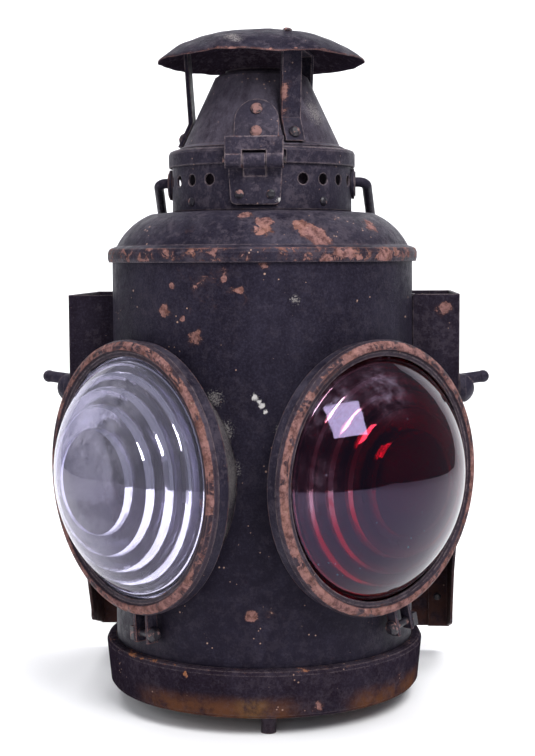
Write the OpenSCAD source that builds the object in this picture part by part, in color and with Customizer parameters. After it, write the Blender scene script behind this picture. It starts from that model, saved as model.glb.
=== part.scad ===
/* [Base] */
// Height of each foot peg below the base skirt
foot_h = 10.7; // [6:0.1:20]
// Radius of a foot peg
foot_r = 4.2; // [3:0.1:4.4]
// Distance of a foot peg's middle from the skirt's outer edge
foot_inset = 11.9; // [10.5:0.1:30]
// Turn of the foot pegs about the axis, away from the hinge line
foot_turn = 5.5; // [0:0.5:20]
// Height of the base skirt
skirt_h = 27; // [20:0.5:45]
// How far the top of the base skirt stands out from the body
skirt_proud = 5.9; // [3.5:0.1:8]
// How much narrower the skirt is at its foot
skirt_taper = 2.2; // [0:0.1:3]
// Number of draught holes in the floor pan
draught_count = 12; // [4:1:16]
// Radius of a draught hole
draught_r = 4; // [2:0.5:6]

/* [Body] */
// Outer radius of the body drum
body_r = 88.2; // [84:0.2:100]
// Thickness of the sheet steel
sheet = 1.2; // [0.8:0.1:1.6]
// Height of the shoulder seam above the table
seam_z = 262.5; // [249:0.5:290]
// Half the height of the rolled seam bead
bead_half_h = 4.2; // [3:0.1:6]
// How far the rolled seam bead stands out from the body
bead_proud = 2.7; // [1:0.1:4]
// Radius of the rounded shoulder
shoulder_r = 38.5; // [36:0.5:42]
// Height of the neck joint above the seam
neck_rise = 24.9; // [20:0.1:32]

/* [Neck and vents] */
// Outer radius of the vented neck band
band_r = 52.6; // [50:0.1:56]
// Height of the neck band
band_h = 34.3; // [32:0.1:40]
// Radius of a vent hole
vent_r = 3.2; // [2:0.1:4]
// Height of the vent holes above the bottom of the band
vent_z = 17.2; // [14:0.1:18]
// Angle between neighbouring vent holes
vent_step = 15; // [15:15:30]
// How far inside the band the draught baffle stands
baffle_in = 5.6; // [5.2:0.1:6.2]

/* [Lid and chimney] */
// Thickness of the lid skirt's wall
lid_wall = 1; // [0.8:0.1:1.4]
// Gap between the lid skirt and the neck band
lid_gap = 1; // [0.9:0.1:1.5]
// Depth of the lid skirt over the band
lid_skirt_h = 8.9; // [7:0.1:12]
// Distance from the outside of the lid's skirt in to the foot of the chimney cone
cone_inset = 7.6; // [6.6:0.1:9.6]
// Outer radius of the chimney cone at its top
cone_top_r = 26.2; // [25:0.1:32]
// Height of the chimney cone
cone_h = 44; // [40:0.2:56]
// How far inside the cone's top the flue stands
flue_inset = 5.2; // [4.6:0.1:7]
// Radius of the umbrella cap
cap_r = 60.4; // [56:0.2:60.8]
// Rise of the umbrella cap from rim to crown
cap_rise = 16.6; // [10:0.1:20]
// Height of the cap's rim above the cone's top
cap_lift = 8.3; // [5:0.1:10]
// Power of the cap's curve, higher is flatter on top
cap_power = 3.1; // [2:0.1:3.5]
// Width of a cap strap
strap_w = 11.8; // [10:0.1:13]
// Thickness of a cap strap
strap_t = 2.5; // [1.5:0.1:3]
// How far inside the cap's rim a cap strap stands
strap_inset = 16.4; // [14.8:0.1:17]
// Turn of the first cap strap away from the hinge line
strap_turn = 27; // [25:0.1:32]

/* [Hinge and bail] */
// Radius of the hinge barrel
knuckle_r = 4.3; // [3.6:0.1:4.6]
// Radius of the hinge pin
hinge_pin_r = 1.6; // [1.2:0.1:2]
// Width of the hinge at the barrel
hinge_w = 32.4; // [28:0.2:36]
// Width of the hinge's middle knuckle
knuckle_w = 12.6; // [10:0.1:16]
// Height of the hinge axis below the top of the band
hinge_drop = 7.7; // [6.6:0.1:8.6]
// Radius of the bail wire
bail_wire_r = 2.9; // [2:0.1:3]
// How much further than the body's radius the bail reaches from its pivot
bail_over = 16.8; // [16.8:0.1:26]
// How far the middle of a bail leg stands out from its ear
bail_out = 6.6; // [5.6:0.1:9]
// Angle by which the bail's legs spread
bail_flare = 3.6; // [3.6:0.1:5]
// Clearance between the resting bail and the shoulder
bail_clear = 1; // [0.6:0.1:8]
// Radius of a bail ear
ear_r = 8.8; // [7:0.1:10]

/* [Lenses] */
// Height of the lens centres above the table
lens_z = 139.5; // [129:0.5:149]
// Angle of each lens away from the hinge line
lens_turn = 45; // [45:0.5:47]
// How far the front of the lens edge stands out from the body
lens_stand = 9.8; // [9.8:0.1:18]
// Radius of a lens at its edge
lens_r = 69; // [66:0.1:72]
// Thickness of a lens at its edge
lens_edge = 4.5; // [3:0.1:5]
// Height of the lens dome in front of its edge
lens_rise = 34; // [24:0.5:36]
// Thickness of the lens glass at the outer end of each step
lens_glass_t = 8; // [5:0.5:8]
// Number of steps on the inside of a lens
lens_steps = 5; // [2:1:5]
// Width of the plain border outside a lens's steps
lens_border = 8; // [7:0.1:14]
// How far a ring's opening laps over the glass
ring_lap = 1.8; // [1.2:0.1:3]
// How far a ring's face stands out from its barrel
ring_flange = 4.5; // [4.3:0.1:6]
// Distance from a lens's edge to the outside of its barrel
barrel_room = 3; // [2.8:0.1:3.2]
// How much narrower a lens barrel is where it meets the body's side
barrel_taper = 16; // [14:0.5:18]
// Turn of the left clamp's ears from the bottom
clamp_turn_left = 4; // [0:1:20]
// Turn of the right clamp's ears from the bottom
clamp_turn_right = 14; // [0:1:20]
// Distance between the two clamp ears
clamp_gap = 9; // [7:0.5:12]
// Radius of the clamp screw
clamp_screw_r = 2; // [1.5:0.1:2.5]

/* [Mounting cradle] */
// Distance from the body out to the cradle's side wall
cradle_side_gap = 27.8; // [24:0.1:34]
// Distance from the body back to the cradle's back plate
cradle_back_gap = 8.8; // [6.8:0.1:17]
// Height of the cradle's top above the table
cradle_top = 239; // [219:1:244]
// Height of the cradle's bottom above the table
cradle_bottom = 17; // [14:0.5:24]
// Thickness of the cradle's side sheet
cradle_t = 1.6; // [1.2:0.1:2]
// Thickness of the cradle's back plate
back_t = 3.2; // [2.5:0.1:4]
// Height at which the side walls start to slope back
cradle_slope_z = 106; // [90:1:114]
// Radius of the back plate's mounting holes
mount_hole_r = 5.25; // [3:0.25:7]
// Distance between the mounting holes, across
mount_dx = 120; // [80:1:150]
// Distance between the mounting holes, up and down
mount_dz = 140; // [100:1:160]
// Height of the lock levers above the table
lock_z = 183; // [174:1:194]
// Radius of a lock lever's hub
lock_hub_r = 8.5; // [6:0.1:10]

/* [Burner] */
// Radius of the oil fount
fount_r = 43; // [36:0.5:44]
// Height of the oil fount's straight side
fount_h = 66; // [44:1:70]
// Width of the wick
wick_w = 14; // [10:0.5:18]
// Thickness of the wick
wick_t = 2.6; // [2:0.1:3]
// Radius of the wick wheel's shaft
wheel_shaft_r = 1.2; // [1:0.1:1.6]

/* [Hidden] */
$fn = 96;
// Clearance between pieces that are soldered, seated or riveted together
seam = 0.15;
// Clearance between a pin and its bore
running = 0.06;
// Small overlap that carries a cut clear through a wall
cut = 1;
// Radius of a small rivet's shank and of its head, and the head's height
rivet_r = 1.5;
rivet_head_r = 3.3;
rivet_head_h = 1.8;
small_head_r = 2.5;
small_head_h = 1.2;

// Base
skirt_top = foot_h + skirt_h;
pan_z = foot_h + sheet;
pan_top = pan_z + sheet;
skirt_top_r = body_r + skirt_proud;
skirt_foot_r = skirt_top_r - skirt_taper;
skirt_lip_w = 6;
foot_pitch_r = skirt_foot_r - foot_inset;
draught_pitch_r = foot_pitch_r - 4.5 * foot_r;
// Neck heights
dome_rim_z = seam_z + bead_half_h;
// Shoulder arc, from its low angle beside the bead to its high angle beside the neck
dome_high = 68;
dome_steps = 11;
dome_arc_x = body_r - shoulder_r + 1.5;
dome_arc_z = seam_z + neck_rise - shoulder_r + 1.5;
dome_low = asin((dome_rim_z + 1 - dome_arc_z) / shoulder_r);
neck_z = seam_z + neck_rise;
band_top = neck_z + band_h;
vent_height = neck_z + vent_z;
neck_lip_r = band_r - sheet - seam;
neck_lip_h = 8.6;
baffle_lip_r = neck_lip_r - sheet - seam;
baffle_r = band_r - baffle_in;
baffle_foot = 1;
baffle_lip_h = 7.4;
neck_rivet_up = 5;
// Lid heights
lid_z = band_top + seam;
lid_skirt_r = band_r + lid_gap + lid_wall;
lid_top = lid_z + lid_wall;
// The baffle stands behind the whole of each vent, and stops below the lid
baffle_h = min(vent_z + vent_r + 1.6, lid_z - lid_skirt_h - neck_z - baffle_foot - 2);
cone_z = lid_top + seam;
cone_foot_r = lid_skirt_r - cone_inset;
flue_r = cone_top_r - flue_inset;
cone_slope = (cone_foot_r - cone_top_r) / cone_h;
cone_lean = atan(cone_slope);
cone_top = cone_z + cone_h;
cap_rim_z = cone_top + cap_lift;
// Hinge axis
hinge_y = -(lid_skirt_r + knuckle_r + 0.2);
hinge_z = band_top - hinge_drop;
leaf_t = 2;
leaf_gap = 0.3;
leaf_corner_r = 3.5;
leaf_narrow = 2.2;
shelf_z = cone_z + 4.2;
shelf_corner = 6;
leaf_rise = 22.5;
leaf_w = 25.2;
strip_set = 1.4;
// Bail
bail_z = vent_height;
ear_t = 2.4;
bail_leg_x = band_r + ear_t + bail_out;
bail_reach = body_r + bail_over;
bail_elbow_r = 5.1;
bail_sleeve_h = 0.8;
bail_sleeve_gap = 0.1;
ear_z = lid_z - lid_skirt_h - 0.6 - ear_r;
bail_corner_r = 22;
// Lens stations, measured along each lens axis from the lamp's axis
gasket_t = 1.5;
lens_face = body_r + lens_stand;
lens_back = lens_face - lens_edge;
lens_lip_r = lens_r - 5;
seat_l = lens_back - gasket_t;
ring_open_r = lens_r - ring_lap;
barrel_r = lens_r + barrel_room;
ring_r = barrel_r + ring_flange;
barrel_foot_r = barrel_r - barrel_taper;
barrel_bend_l = seat_l - sheet - 2.3;
barrel_slope = (barrel_r - barrel_foot_r) / (barrel_bend_l - sqrt(pow(body_r, 2) - pow(barrel_foot_r, 2)));
ring_wall_r = barrel_r + 0.3;
ring_back_l = body_r + 0.4;
band_in_r = ring_wall_r + sheet + seam;
clamp_t = 1.8;
clamp_ear_h = 19;
clamp_ear_tip = 5;
clamp_screw_l = clamp_ear_h - clamp_ear_tip;
clamp_w = 7;
// Cradle
cradle_x = body_r + cradle_side_gap;
cradle_y = body_r + cradle_back_gap;
cradle_knee = 41;
cradle_toe = 57;
cradle_toe_h = 18;
cradle_toe_up = 10.5;
cradle_toe_cut = 3;
wing_lip = 12;
wing_y = -1;
rear_flange_w = 14;
lock_y = 8;
lock_shaft_r = 3;
lock_hub_t = 3.6;
lock_hub_dome = 5.4;
lock_finger_r = 3.4;
lock_finger_ball = 0.3;
lock_finger_up = 6.5;
lock_finger_reach = 16.2;
lock_finger_l = lock_finger_reach - lock_finger_r;
// Burner heights
seat_h = 9;
fount_shoulder_h = 10;
fount_z = pan_top + seam;
fount_shoulder_z = fount_z + fount_h;
fount_top = fount_shoulder_z + fount_shoulder_h;
collar_r = 17;
collar_h = 8;
burner_z = fount_top + collar_h;
burner_h = 12;
burner_r = 15;
tube_rise = 12;
tube_top = burner_z + burner_h + tube_rise;
burner_cap_rise = 4;
flame_gap = 1.6;
wick_out = 3;
wheel_z = burner_z + 6;
wheel_r = 3.2;
wheel_w = 3;
wheel_y = -(wick_t / 2 + wheel_r + 0.25);
thumb_reach = 28;
thumb_r = 7;
thumb_t = 2.4;
tube_wall = 0.6;

// Places a shape of revolution on a lens axis, with its own Z running outwards
module on_lens(side) {
    translate([0, 0, lens_z]) rotate([0, 0, side * lens_turn]) rotate([90, 0, 0]) children();
}

// A flat ring with its bottom at z
module washer(z, h, r_out, r_in) {
    translate([0, 0, z]) difference() {
        cylinder(h = h, r = r_out);
        translate([0, 0, -cut]) cylinder(h = h + 2 * cut, r = r_in);
    }
}

// A round head with a slightly smaller top, standing on z = 0
module head(r, h) {
    cylinder(h = h * 0.45, r = r);
    translate([0, 0, h * 0.45]) cylinder(h = h * 0.55, r1 = r, r2 = r * 0.55);
}

// A round cap that rises by h over a disc of radius r
module round_cap(r, h) {
    ball_r = (r * r + h * h) / (2 * h);
    intersection() {
        translate([0, 0, h - ball_r]) sphere(r = ball_r);
        cylinder(h = h, r = r);
    }
}

// A rivet along -Z from its head on z = 0, with a shank of the given length
module rivet(r, h, shank) {
    head(r, h);
    translate([0, 0, -shank]) cylinder(h = shank + 0.01, r = rivet_r, $fn = 24);
}

// A bore for a rivet of the given depth below z = 0
module rivet_bore(depth) {
    translate([0, 0, -depth]) cylinder(h = depth + cut, r = rivet_r + running, $fn = 24);
}

// Points a shape's Z outwards from the lamp's axis at an angle, radius and height
module outwards(angle, r, z) {
    rotate([0, 0, angle]) translate([0, -r, z]) rotate([90, 0, 0]) children();
}

module foot_pegs() {
    color("#17151a") for (i = [0:2]) {
        rotate([0, 0, foot_turn + 120 * i]) translate([0, -foot_pitch_r, 0]) cylinder(h = pan_z, r = foot_r);
    }
}

module base_skirt() {
    color("#26232a") rotate_extrude() polygon([
        [skirt_foot_r - skirt_lip_w, foot_h],
        [skirt_foot_r - sheet, foot_h],
        [skirt_foot_r, foot_h + sheet * 1.4],
        [skirt_top_r, skirt_top - sheet * 2.2],
        [skirt_top_r - sheet * 0.8, skirt_top - sheet * 0.5],
        [skirt_top_r - sheet * 2, skirt_top],
        [body_r + seam, skirt_top],
        [body_r + seam, skirt_top - sheet],
        [skirt_top_r - sheet * 1.9, skirt_top - sheet * 1.9],
        [skirt_foot_r - sheet, foot_h + sheet],
        [skirt_foot_r - skirt_lip_w, foot_h + sheet]]);
}

module floor_pan() {
    pan_r = skirt_foot_r - sheet - seam;
    color("#231f24") difference() {
        translate([0, 0, pan_z]) cylinder(h = sheet, r = pan_r);
        for (i = [0:draught_count - 1]) {
            rotate([0, 0, 360 / draught_count * (i + 0.5)]) translate([0, draught_pitch_r, pan_z - cut])
                cylinder(h = sheet + 2 * cut, r = draught_r, $fn = 32);
        }
    }
}

// The cone that a lens barrel fills, out to a given distance beyond its own surface
module barrel_cone(grow, reach) {
    start = 30;
    start_r = barrel_r - barrel_slope * (barrel_bend_l - start);
    translate([0, 0, start]) cylinder(h = barrel_bend_l - start, r1 = start_r + grow, r2 = barrel_r + grow);
    translate([0, 0, barrel_bend_l]) cylinder(h = reach, r = barrel_r + grow);
}

module wing_bores() {
    for (side = [-1, 1], z = wing_rivet_heights()) {
        translate([side * (body_r - 4), wing_lip / 2, z]) rotate([0, side * 90, 0])
            cylinder(h = 12, r = rivet_r + running, $fn = 24);
    }
}

function wing_rivet_heights() = [cradle_slope_z + 12, (cradle_slope_z + cradle_top) / 2, cradle_top - 12];

module body_shell() {
    color("#2b2930") difference() {
        translate([0, 0, pan_top]) cylinder(h = seam_z - pan_top, r = body_r);
        translate([0, 0, pan_top - cut]) cylinder(h = seam_z - pan_top + 2 * cut, r = body_r - sheet);
        for (side = [-1, 1]) {
            on_lens(side) barrel_cone(seam, 20);
        }
        wing_bores();
    }
}

// A point of the shoulder's arc, as a distance from the axis and a height
function dome_point(i, r) =
    let (turn = dome_low + (dome_high - dome_low) * i / dome_steps)
    [dome_arc_x + r * cos(turn), dome_arc_z + r * sin(turn)];

module shoulder_dome() {
    crown = [for (i = [0:dome_steps]) dome_point(i, shoulder_r)];
    under = [for (i = [dome_steps:-1:0]) dome_point(i, shoulder_r - sheet)];
    bead_r = body_r + bead_proud;
    color("#2b2930") difference() {
        rotate_extrude() polygon(concat(
        [[body_r + seam, seam_z - bead_half_h],
        [bead_r - 0.7, seam_z - bead_half_h],
        [bead_r, seam_z - bead_half_h * 0.5],
        [bead_r, seam_z + bead_half_h * 0.3],
        [bead_r - 0.9, seam_z + bead_half_h * 0.8],
        [bead_r - 2.4, dome_rim_z]],
        crown,
        [[neck_lip_r, neck_z],
        [neck_lip_r, neck_z + neck_lip_h],
        [neck_lip_r - sheet, neck_z + neck_lip_h],
        [neck_lip_r - sheet, neck_z - sheet * 1.2]],
        under,
        [[body_r - 3.9, dome_rim_z - 1],
        [body_r - 2.6, seam_z + seam],
        [body_r + seam, seam_z + seam]]));
        baffle_rivet_bores();
    }
}

module neck_band() {
    steps = 360 / vent_step;
    color("#29272e") difference() {
        translate([0, 0, neck_z + seam]) cylinder(h = band_h - seam, r = band_r);
        translate([0, 0, neck_z - cut]) cylinder(h = band_h + 2 * cut, r = band_r - sheet);
        for (i = [0:steps - 1]) {
            angle = i * vent_step;
            if (vent_open(angle)) {
                outwards(angle, band_r - 3, vent_height) cylinder(h = 6, r = vent_r, $fn = 32);
            }
        }
        for (side = [-1, 1]) {
            translate([side * (band_r - 4), 0, bail_z]) rotate([0, side * 90, 0])
                cylinder(h = 8, r = bail_wire_r + 0.4, $fn = 48);
        }
        baffle_rivet_bores();
        for (x = hinge_lower_x()) {
            hinge_lower_place(x) rivet_bore(8);
        }
        for (z = catch_heights()) {
            outwards(180, band_r + 1, z) rivet_bore(8);
        }
    }
}

// Length of a rivet through the band, the shoulder's neck and the baffle's lip
baffle_grip = 3 * sheet + 2 * seam + 0.5;

// The hinge leaf, the bail ears and the catch take the place of a vent hole
function vent_open(angle) =
    abs(sin(angle)) < 0.99 && abs(angle) > 16 && abs(angle - 360) > 16 && abs(angle - 180) > 11;

module baffle_rivet_bores() {
    for (angle = [45:90:315]) {
        outwards(angle, band_r, neck_z + neck_rivet_up) rivet_bore(baffle_grip + 0.4);
    }
}

module draught_baffle() {
    foot_z = neck_z + baffle_foot;
    color("#231f24") difference() {
        union() {
            washer(foot_z, baffle_h, baffle_r, baffle_r - sheet);
            washer(foot_z, sheet, baffle_lip_r, baffle_r - sheet);
            washer(foot_z, baffle_lip_h, baffle_lip_r, baffle_lip_r - sheet);
        }
        baffle_rivet_bores();
    }
}

module baffle_rivets() {
    color("#1f1c20") for (angle = [45:90:315]) {
        outwards(angle, band_r + 0.05, neck_z + neck_rivet_up) rivet(small_head_r, small_head_h, baffle_grip);
    }
}

module hinge_notch() {
    half = hinge_w / 2 + 0.8;
    translate([-half, -lid_skirt_r - cut, lid_z - lid_skirt_h - cut])
        cube([2 * half, lid_skirt_r * 0.25 + cut, lid_skirt_h + cut - 1.5]);
}

module lid_ring() {
    foot = lid_z - lid_skirt_h;
    color("#29272e") difference() {
        rotate_extrude() polygon([
            [lid_skirt_r - lid_wall, foot],
            [lid_skirt_r - 0.3, foot],
            [lid_skirt_r, foot + 0.5],
            [lid_skirt_r, lid_top - 2.4],
            [lid_skirt_r - 0.8, lid_top - 0.8],
            [lid_skirt_r - 2.6, lid_top],
            [cone_foot_r - 3.5, lid_top],
            [cone_foot_r - 3.5, lid_z],
            [lid_skirt_r - lid_wall, lid_z]]);
        hinge_notch();
    }
}

// Outer radius of the cone at a height
function cone_r(z) = cone_foot_r - cone_slope * (z - cone_z);

module chimney_cone() {
    color("#29272e") difference() {
        rotate_extrude() polygon([
            [cone_foot_r - sheet - 1.2, cone_z],
            [cone_foot_r + 1.6, cone_z],
            [cone_foot_r + 2, cone_z + 0.8],
            [cone_foot_r + 0.6, cone_z + 1.6],
            [cone_r(cone_z + 2.4), cone_z + 2.4],
            [cone_r(cone_top - 2), cone_top - 2],
            [cone_top_r - 1.4, cone_top - 0.4],
            [cone_top_r - 3, cone_top],
            [flue_r + seam, cone_top],
            [flue_r + seam, cone_top - sheet],
            [cone_top_r - 2 - sheet, cone_top - sheet - 1.4],
            [cone_foot_r - sheet - 1.2, cone_z + 1.8]]);
        hinge_upper_bores();
        for (angle = strap_angles()) {
            strap_foot_rivet(angle) rivet_bore(8);
        }
    }
}

module inner_flue() {
    color("#1d1a1c") washer(cone_z - 15, cone_h + 17, flue_r, flue_r - sheet);
}

// Height of the cap's upper face at a distance from the axis
function cap_z(r) = cap_rim_z + cap_rise * (1 - pow(r / cap_r, cap_power));
// Slope of the cap at a distance from the axis
function cap_lean(r) = atan(cap_rise * cap_power / cap_r * pow(r / cap_r, cap_power - 1));

module umbrella_cap() {
    top = [for (t = [0, 0.2, 0.3, 0.4, 0.5, 0.6, 0.7, 0.8, 0.9, 1]) [cap_r * t, cap_z(cap_r * t)]];
    under = [for (t = [0.98, 0.9, 0.8, 0.7, 0.6, 0.5, 0.4, 0.3, 0.2, 0]) [cap_r * t, cap_z(cap_r * t) - sheet]];
    color("#2b2930") difference() {
        rotate_extrude() polygon(concat(top, [[cap_r, cap_rim_z - 0.8]], under));
        for (angle = strap_angles()) {
            strap_top_rivet(angle) rivet_bore(8);
        }
    }
}

function strap_angles() = [strap_turn, strap_turn + 120, strap_turn + 240];
// Heights where a strap bends onto the cone and where its foot ends
strap_bend_z = cone_z + 16;
strap_foot_z = cone_z + 2.6;
strap_lift = 0.3 / cos(cone_lean);
strap_slant_t = strap_t / cos(cone_lean);
strap_tab = 11;
strap_top_r = cap_r - strap_inset;
strap_rivet_r = strap_top_r - strap_tab / 2 - 0.5;
strap_rivet_z = cone_z + 7.7;

module strap_foot_rivet(angle) {
    outwards(angle, cone_r(strap_rivet_z) + strap_lift + strap_slant_t, strap_rivet_z)
        rotate([-cone_lean, 0, 0]) children();
}

module strap_top_rivet(angle) {
    rotate([0, 0, angle]) translate([0, -strap_rivet_r, cap_z(strap_rivet_r)])
        rotate([cap_lean(strap_rivet_r), 0, 0]) children();
}

// One strap, from its foot on the cone up to its tab under the cap
module cap_strap(angle) {
    out_r = strap_top_r + strap_t / 2;
    leg_top = cap_z(out_r) - sheet - 0.2;
    tab_rise = tan(cap_lean(strap_rivet_r));
    tab_in = strap_top_r - strap_tab;
    color("#1f1c20") rotate([0, 0, angle]) difference() {
        rotate([90, 0, 90]) translate([0, 0, -strap_w / 2]) linear_extrude(strap_w) polygon([
            [-cone_r(strap_foot_z) - strap_lift - strap_slant_t, strap_foot_z],
            [-cone_r(strap_bend_z) - strap_lift - strap_slant_t, strap_bend_z],
            [-out_r, leg_top],
            [-tab_in, leg_top + (out_r - tab_in) * tab_rise],
            [-tab_in, leg_top + (out_r - tab_in) * tab_rise - strap_t],
            [-out_r + strap_t, leg_top + strap_t * tab_rise - strap_t],
            [-cone_r(strap_bend_z) - strap_lift, strap_bend_z],
            [-cone_r(strap_foot_z) - strap_lift, strap_foot_z]]);
        rotate([0, 0, -angle]) strap_foot_rivet(angle) rivet_bore(8);
        rotate([0, 0, -angle]) strap_top_rivet(angle) rivet_bore(8);
    }
}

module strap_rivets() {
    color("#1f1c20") for (angle = strap_angles()) {
        strap_foot_rivet(angle) translate([0, 0, 0.05]) rivet(rivet_head_r, rivet_head_h + 0.4, strap_t + 2.6);
        strap_top_rivet(angle) translate([0, 0, 0.05]) rivet(small_head_r, small_head_h, strap_t + 2);
    }
}

function hinge_lower_x() = [-8.4, 8.4];
function hinge_upper_z() = [shelf_z + 3.7, shelf_z + 16.7];

module hinge_lower_place(x) {
    outwards(asin(x / band_r), band_r + leaf_t + seam, neck_z + 8.4) children();
}

module hinge_upper_place(z) {
    outwards(0, cone_r(z) + leaf_t / cos(cone_lean) + leaf_gap, z) rotate([-cone_lean, 0, 0]) children();
}

module hinge_upper_bores() {
    for (z = hinge_upper_z()) {
        hinge_upper_place(z) rivet_bore(8);
    }
}

// A barrel along X with a bore for the pin
module barrel(x, w) {
    translate([x, hinge_y, hinge_z]) rotate([0, 90, 0]) cylinder(h = w, r = knuckle_r);
}

module pin_bore(r) {
    translate([-hinge_w, hinge_y, hinge_z]) rotate([0, 90, 0]) cylinder(h = 2 * hinge_w, r = r, $fn = 48);
}

// A flat outline, wider at its top, whose two bottom corners are rounded
module leaf_outline(bottom_w, top_w, h) {
    r = leaf_corner_r;
    for (side = [-1, 1]) {
        translate([side * (bottom_w / 2 - r), r]) circle(r = r);
    }
    translate([-bottom_w / 2 + r, 0]) square([bottom_w - 2 * r, r]);
    polygon([[-bottom_w / 2, r], [bottom_w / 2, r], [top_w / 2, h], [-top_w / 2, h]]);
}

module hinge_lower_leaf() {
    foot = neck_z + 2.6;
    top = lid_z - lid_skirt_h - 0.4;
    in_r = band_r + seam;
    color("#242128") difference() {
        union() {
            intersection() {
                washer(foot, top - foot, in_r + leaf_t, in_r);
                translate([0, 0, foot]) rotate([90, 0, 0]) linear_extrude(band_r * 2)
                    leaf_outline(hinge_w - 2 * leaf_narrow, hinge_w - leaf_narrow, top - foot);
            }
            barrel(-knuckle_w / 2, knuckle_w);
            rotate([90, 0, 90]) translate([0, 0, -knuckle_w / 2]) linear_extrude(knuckle_w) polygon([
                [hinge_y, hinge_z - knuckle_r],
                [hinge_y, hinge_z],
                [-in_r - 0.4, top],
                [-in_r - 0.4, top - 7],
                [-in_r - leaf_t + 0.2, top - 7]]);
        }
        translate([0, 0, foot - cut]) cylinder(h = band_h, r = in_r);
        pin_bore(hinge_pin_r + running);
        for (x = hinge_lower_x()) {
            hinge_lower_place(x) rivet_bore(6);
        }
    }
}

// The upper leaf's arched plate, as an outline seen from the front
module arch_outline() {
    r = leaf_w / 2;
    translate([-r, shelf_z - leaf_t]) square([leaf_w, leaf_rise - r + leaf_t]);
    translate([0, shelf_z + leaf_rise - r]) circle(r = r);
}

// The shelf between the barrel and the arched plate, narrower at its back
module shelf_outline(out_y) {
    half = hinge_w / 2;
    polygon([
        [-half, out_y],
        [half, out_y],
        [half, out_y + shelf_corner],
        [leaf_w / 2, out_y + 2 * shelf_corner],
        [leaf_w / 2, -cone_r(shelf_z) * 0.85],
        [-leaf_w / 2, -cone_r(shelf_z) * 0.85],
        [-leaf_w / 2, out_y + 2 * shelf_corner],
        [-half, out_y + shelf_corner]]);
}

module hinge_upper_leaf() {
    strip_out = -hinge_y + knuckle_r - strip_set;
    knuckle_gap = 0.3;
    side_w = (hinge_w - knuckle_w) / 2 - knuckle_gap;
    slant_t = leaf_t / cos(cone_lean);
    plate_foot = shelf_z - leaf_t;
    plate_top = shelf_z + leaf_rise;
    color("#242128") difference() {
        union() {
            for (side = [-1, 1]) {
                barrel(side > 0 ? knuckle_w / 2 + knuckle_gap : -hinge_w / 2, side_w);
            }
            difference() {
                translate([-hinge_w / 2, -strip_out, hinge_z])
                    cube([hinge_w, leaf_t, shelf_z - hinge_z]);
                translate([-knuckle_w / 2 - knuckle_gap, -strip_out - cut, hinge_z - cut])
                    cube([knuckle_w + 2 * knuckle_gap, leaf_t + 2 * cut, knuckle_r + 1.2 + cut]);
            }
            difference() {
                translate([0, 0, plate_foot]) linear_extrude(leaf_t) shelf_outline(-strip_out);
                translate([0, 0, plate_foot - cut]) cylinder(h = leaf_t + 2 * cut, r = cone_r(plate_foot) + leaf_gap);
            }
            intersection() {
                rotate_extrude() polygon([
                    [cone_r(plate_foot) + leaf_gap, plate_foot],
                    [cone_r(plate_foot) + leaf_gap + slant_t, plate_foot],
                    [cone_r(plate_top) + leaf_gap + slant_t, plate_top],
                    [cone_r(plate_top) + leaf_gap, plate_top]]);
                rotate([90, 0, 0]) linear_extrude(band_r * 2) arch_outline();
            }
        }
        pin_bore(hinge_pin_r + running);
        hinge_upper_bores();
    }
}

module hinge_pin() {
    color("#1a181b") translate([-hinge_w / 2 - 1.2, hinge_y, hinge_z]) rotate([0, 90, 0]) {
        cylinder(h = hinge_w + 2.4, r = hinge_pin_r, $fn = 48);
        cylinder(h = 1, r = hinge_pin_r + 0.8, $fn = 48);
        translate([0, 0, hinge_w + 1.4]) cylinder(h = 1, r = hinge_pin_r + 0.8, $fn = 48);
    }
}

module hinge_lower_rivets() {
    color("#1f1c20") for (x = hinge_lower_x()) {
        hinge_lower_place(x) translate([0, 0, 0.05]) rivet(small_head_r, small_head_h, leaf_t + sheet + seam);
    }
}

module hinge_upper_rivets() {
    color("#5a3324") for (z = hinge_upper_z()) {
        hinge_upper_place(z) translate([0, 0, 0.05]) rivet(rivet_head_r, rivet_head_h, leaf_t + 2.6);
    }
}

catch_t = 1;
function catch_heights() = [neck_z + 5.4, neck_z + 12.6];

// A flat spring on the back of the band whose top presses on the lid's skirt
module lid_catch() {
    blade = catch_t;
    half_w = 7;
    in_y = band_r + 0.1;
    out_y = lid_skirt_r + 0.3;
    color("#242128") difference() {
        translate([-half_w, 0, 0]) rotate([90, 0, 90]) linear_extrude(2 * half_w) polygon([
            [in_y, neck_z + 2],
            [in_y + blade, neck_z + 2],
            [in_y + blade, neck_z + 17],
            [out_y + blade, lid_z - lid_skirt_h + 1],
            [out_y + blade, lid_top],
            [out_y + blade + 2.4, lid_top + 2.6],
            [out_y + blade + 1.4, lid_top + 3.2],
            [out_y, lid_top + 0.6],
            [out_y, lid_z - lid_skirt_h + 1.6],
            [in_y, neck_z + 17.8]]);
        for (z = catch_heights()) {
            outwards(180, band_r + blade + 0.1, z) rivet_bore(6);
        }
    }
}

module catch_rivets() {
    color("#1f1c20") for (z = catch_heights()) {
        outwards(180, band_r + catch_t + 0.15, z) rivet(small_head_r, small_head_h, catch_t + sheet + 0.1);
    }
}

// A bend in the bail's plane about a centre, from one direction round to another
module bail_bend(x, l, r, start, turn) {
    trim = asin(bail_sleeve_gap / r);
    translate([x, l, 0]) rotate([0, 0, start + trim]) rotate_extrude(angle = turn - 2 * trim)
        translate([r, 0]) circle(r = bail_wire_r, $fn = 32);
}

// A straight length of the bail's wire, in its own plane, with a hair-thin sleeve over each end
module bail_straight(x, l, direction, h) {
    translate([x, l, 0]) rotate([0, 0, direction]) rotate([0, 90, 0]) {
        translate([0, 0, bail_sleeve_gap]) cylinder(h = h - 2 * bail_sleeve_gap, r = bail_wire_r, $fn = 32);
        for (end = [0, h]) {
            translate([0, 0, end - bail_sleeve_h / 2])
                cylinder(h = bail_sleeve_h, r = bail_wire_r + 0.06, $fn = 32);
        }
    }
}

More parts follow.
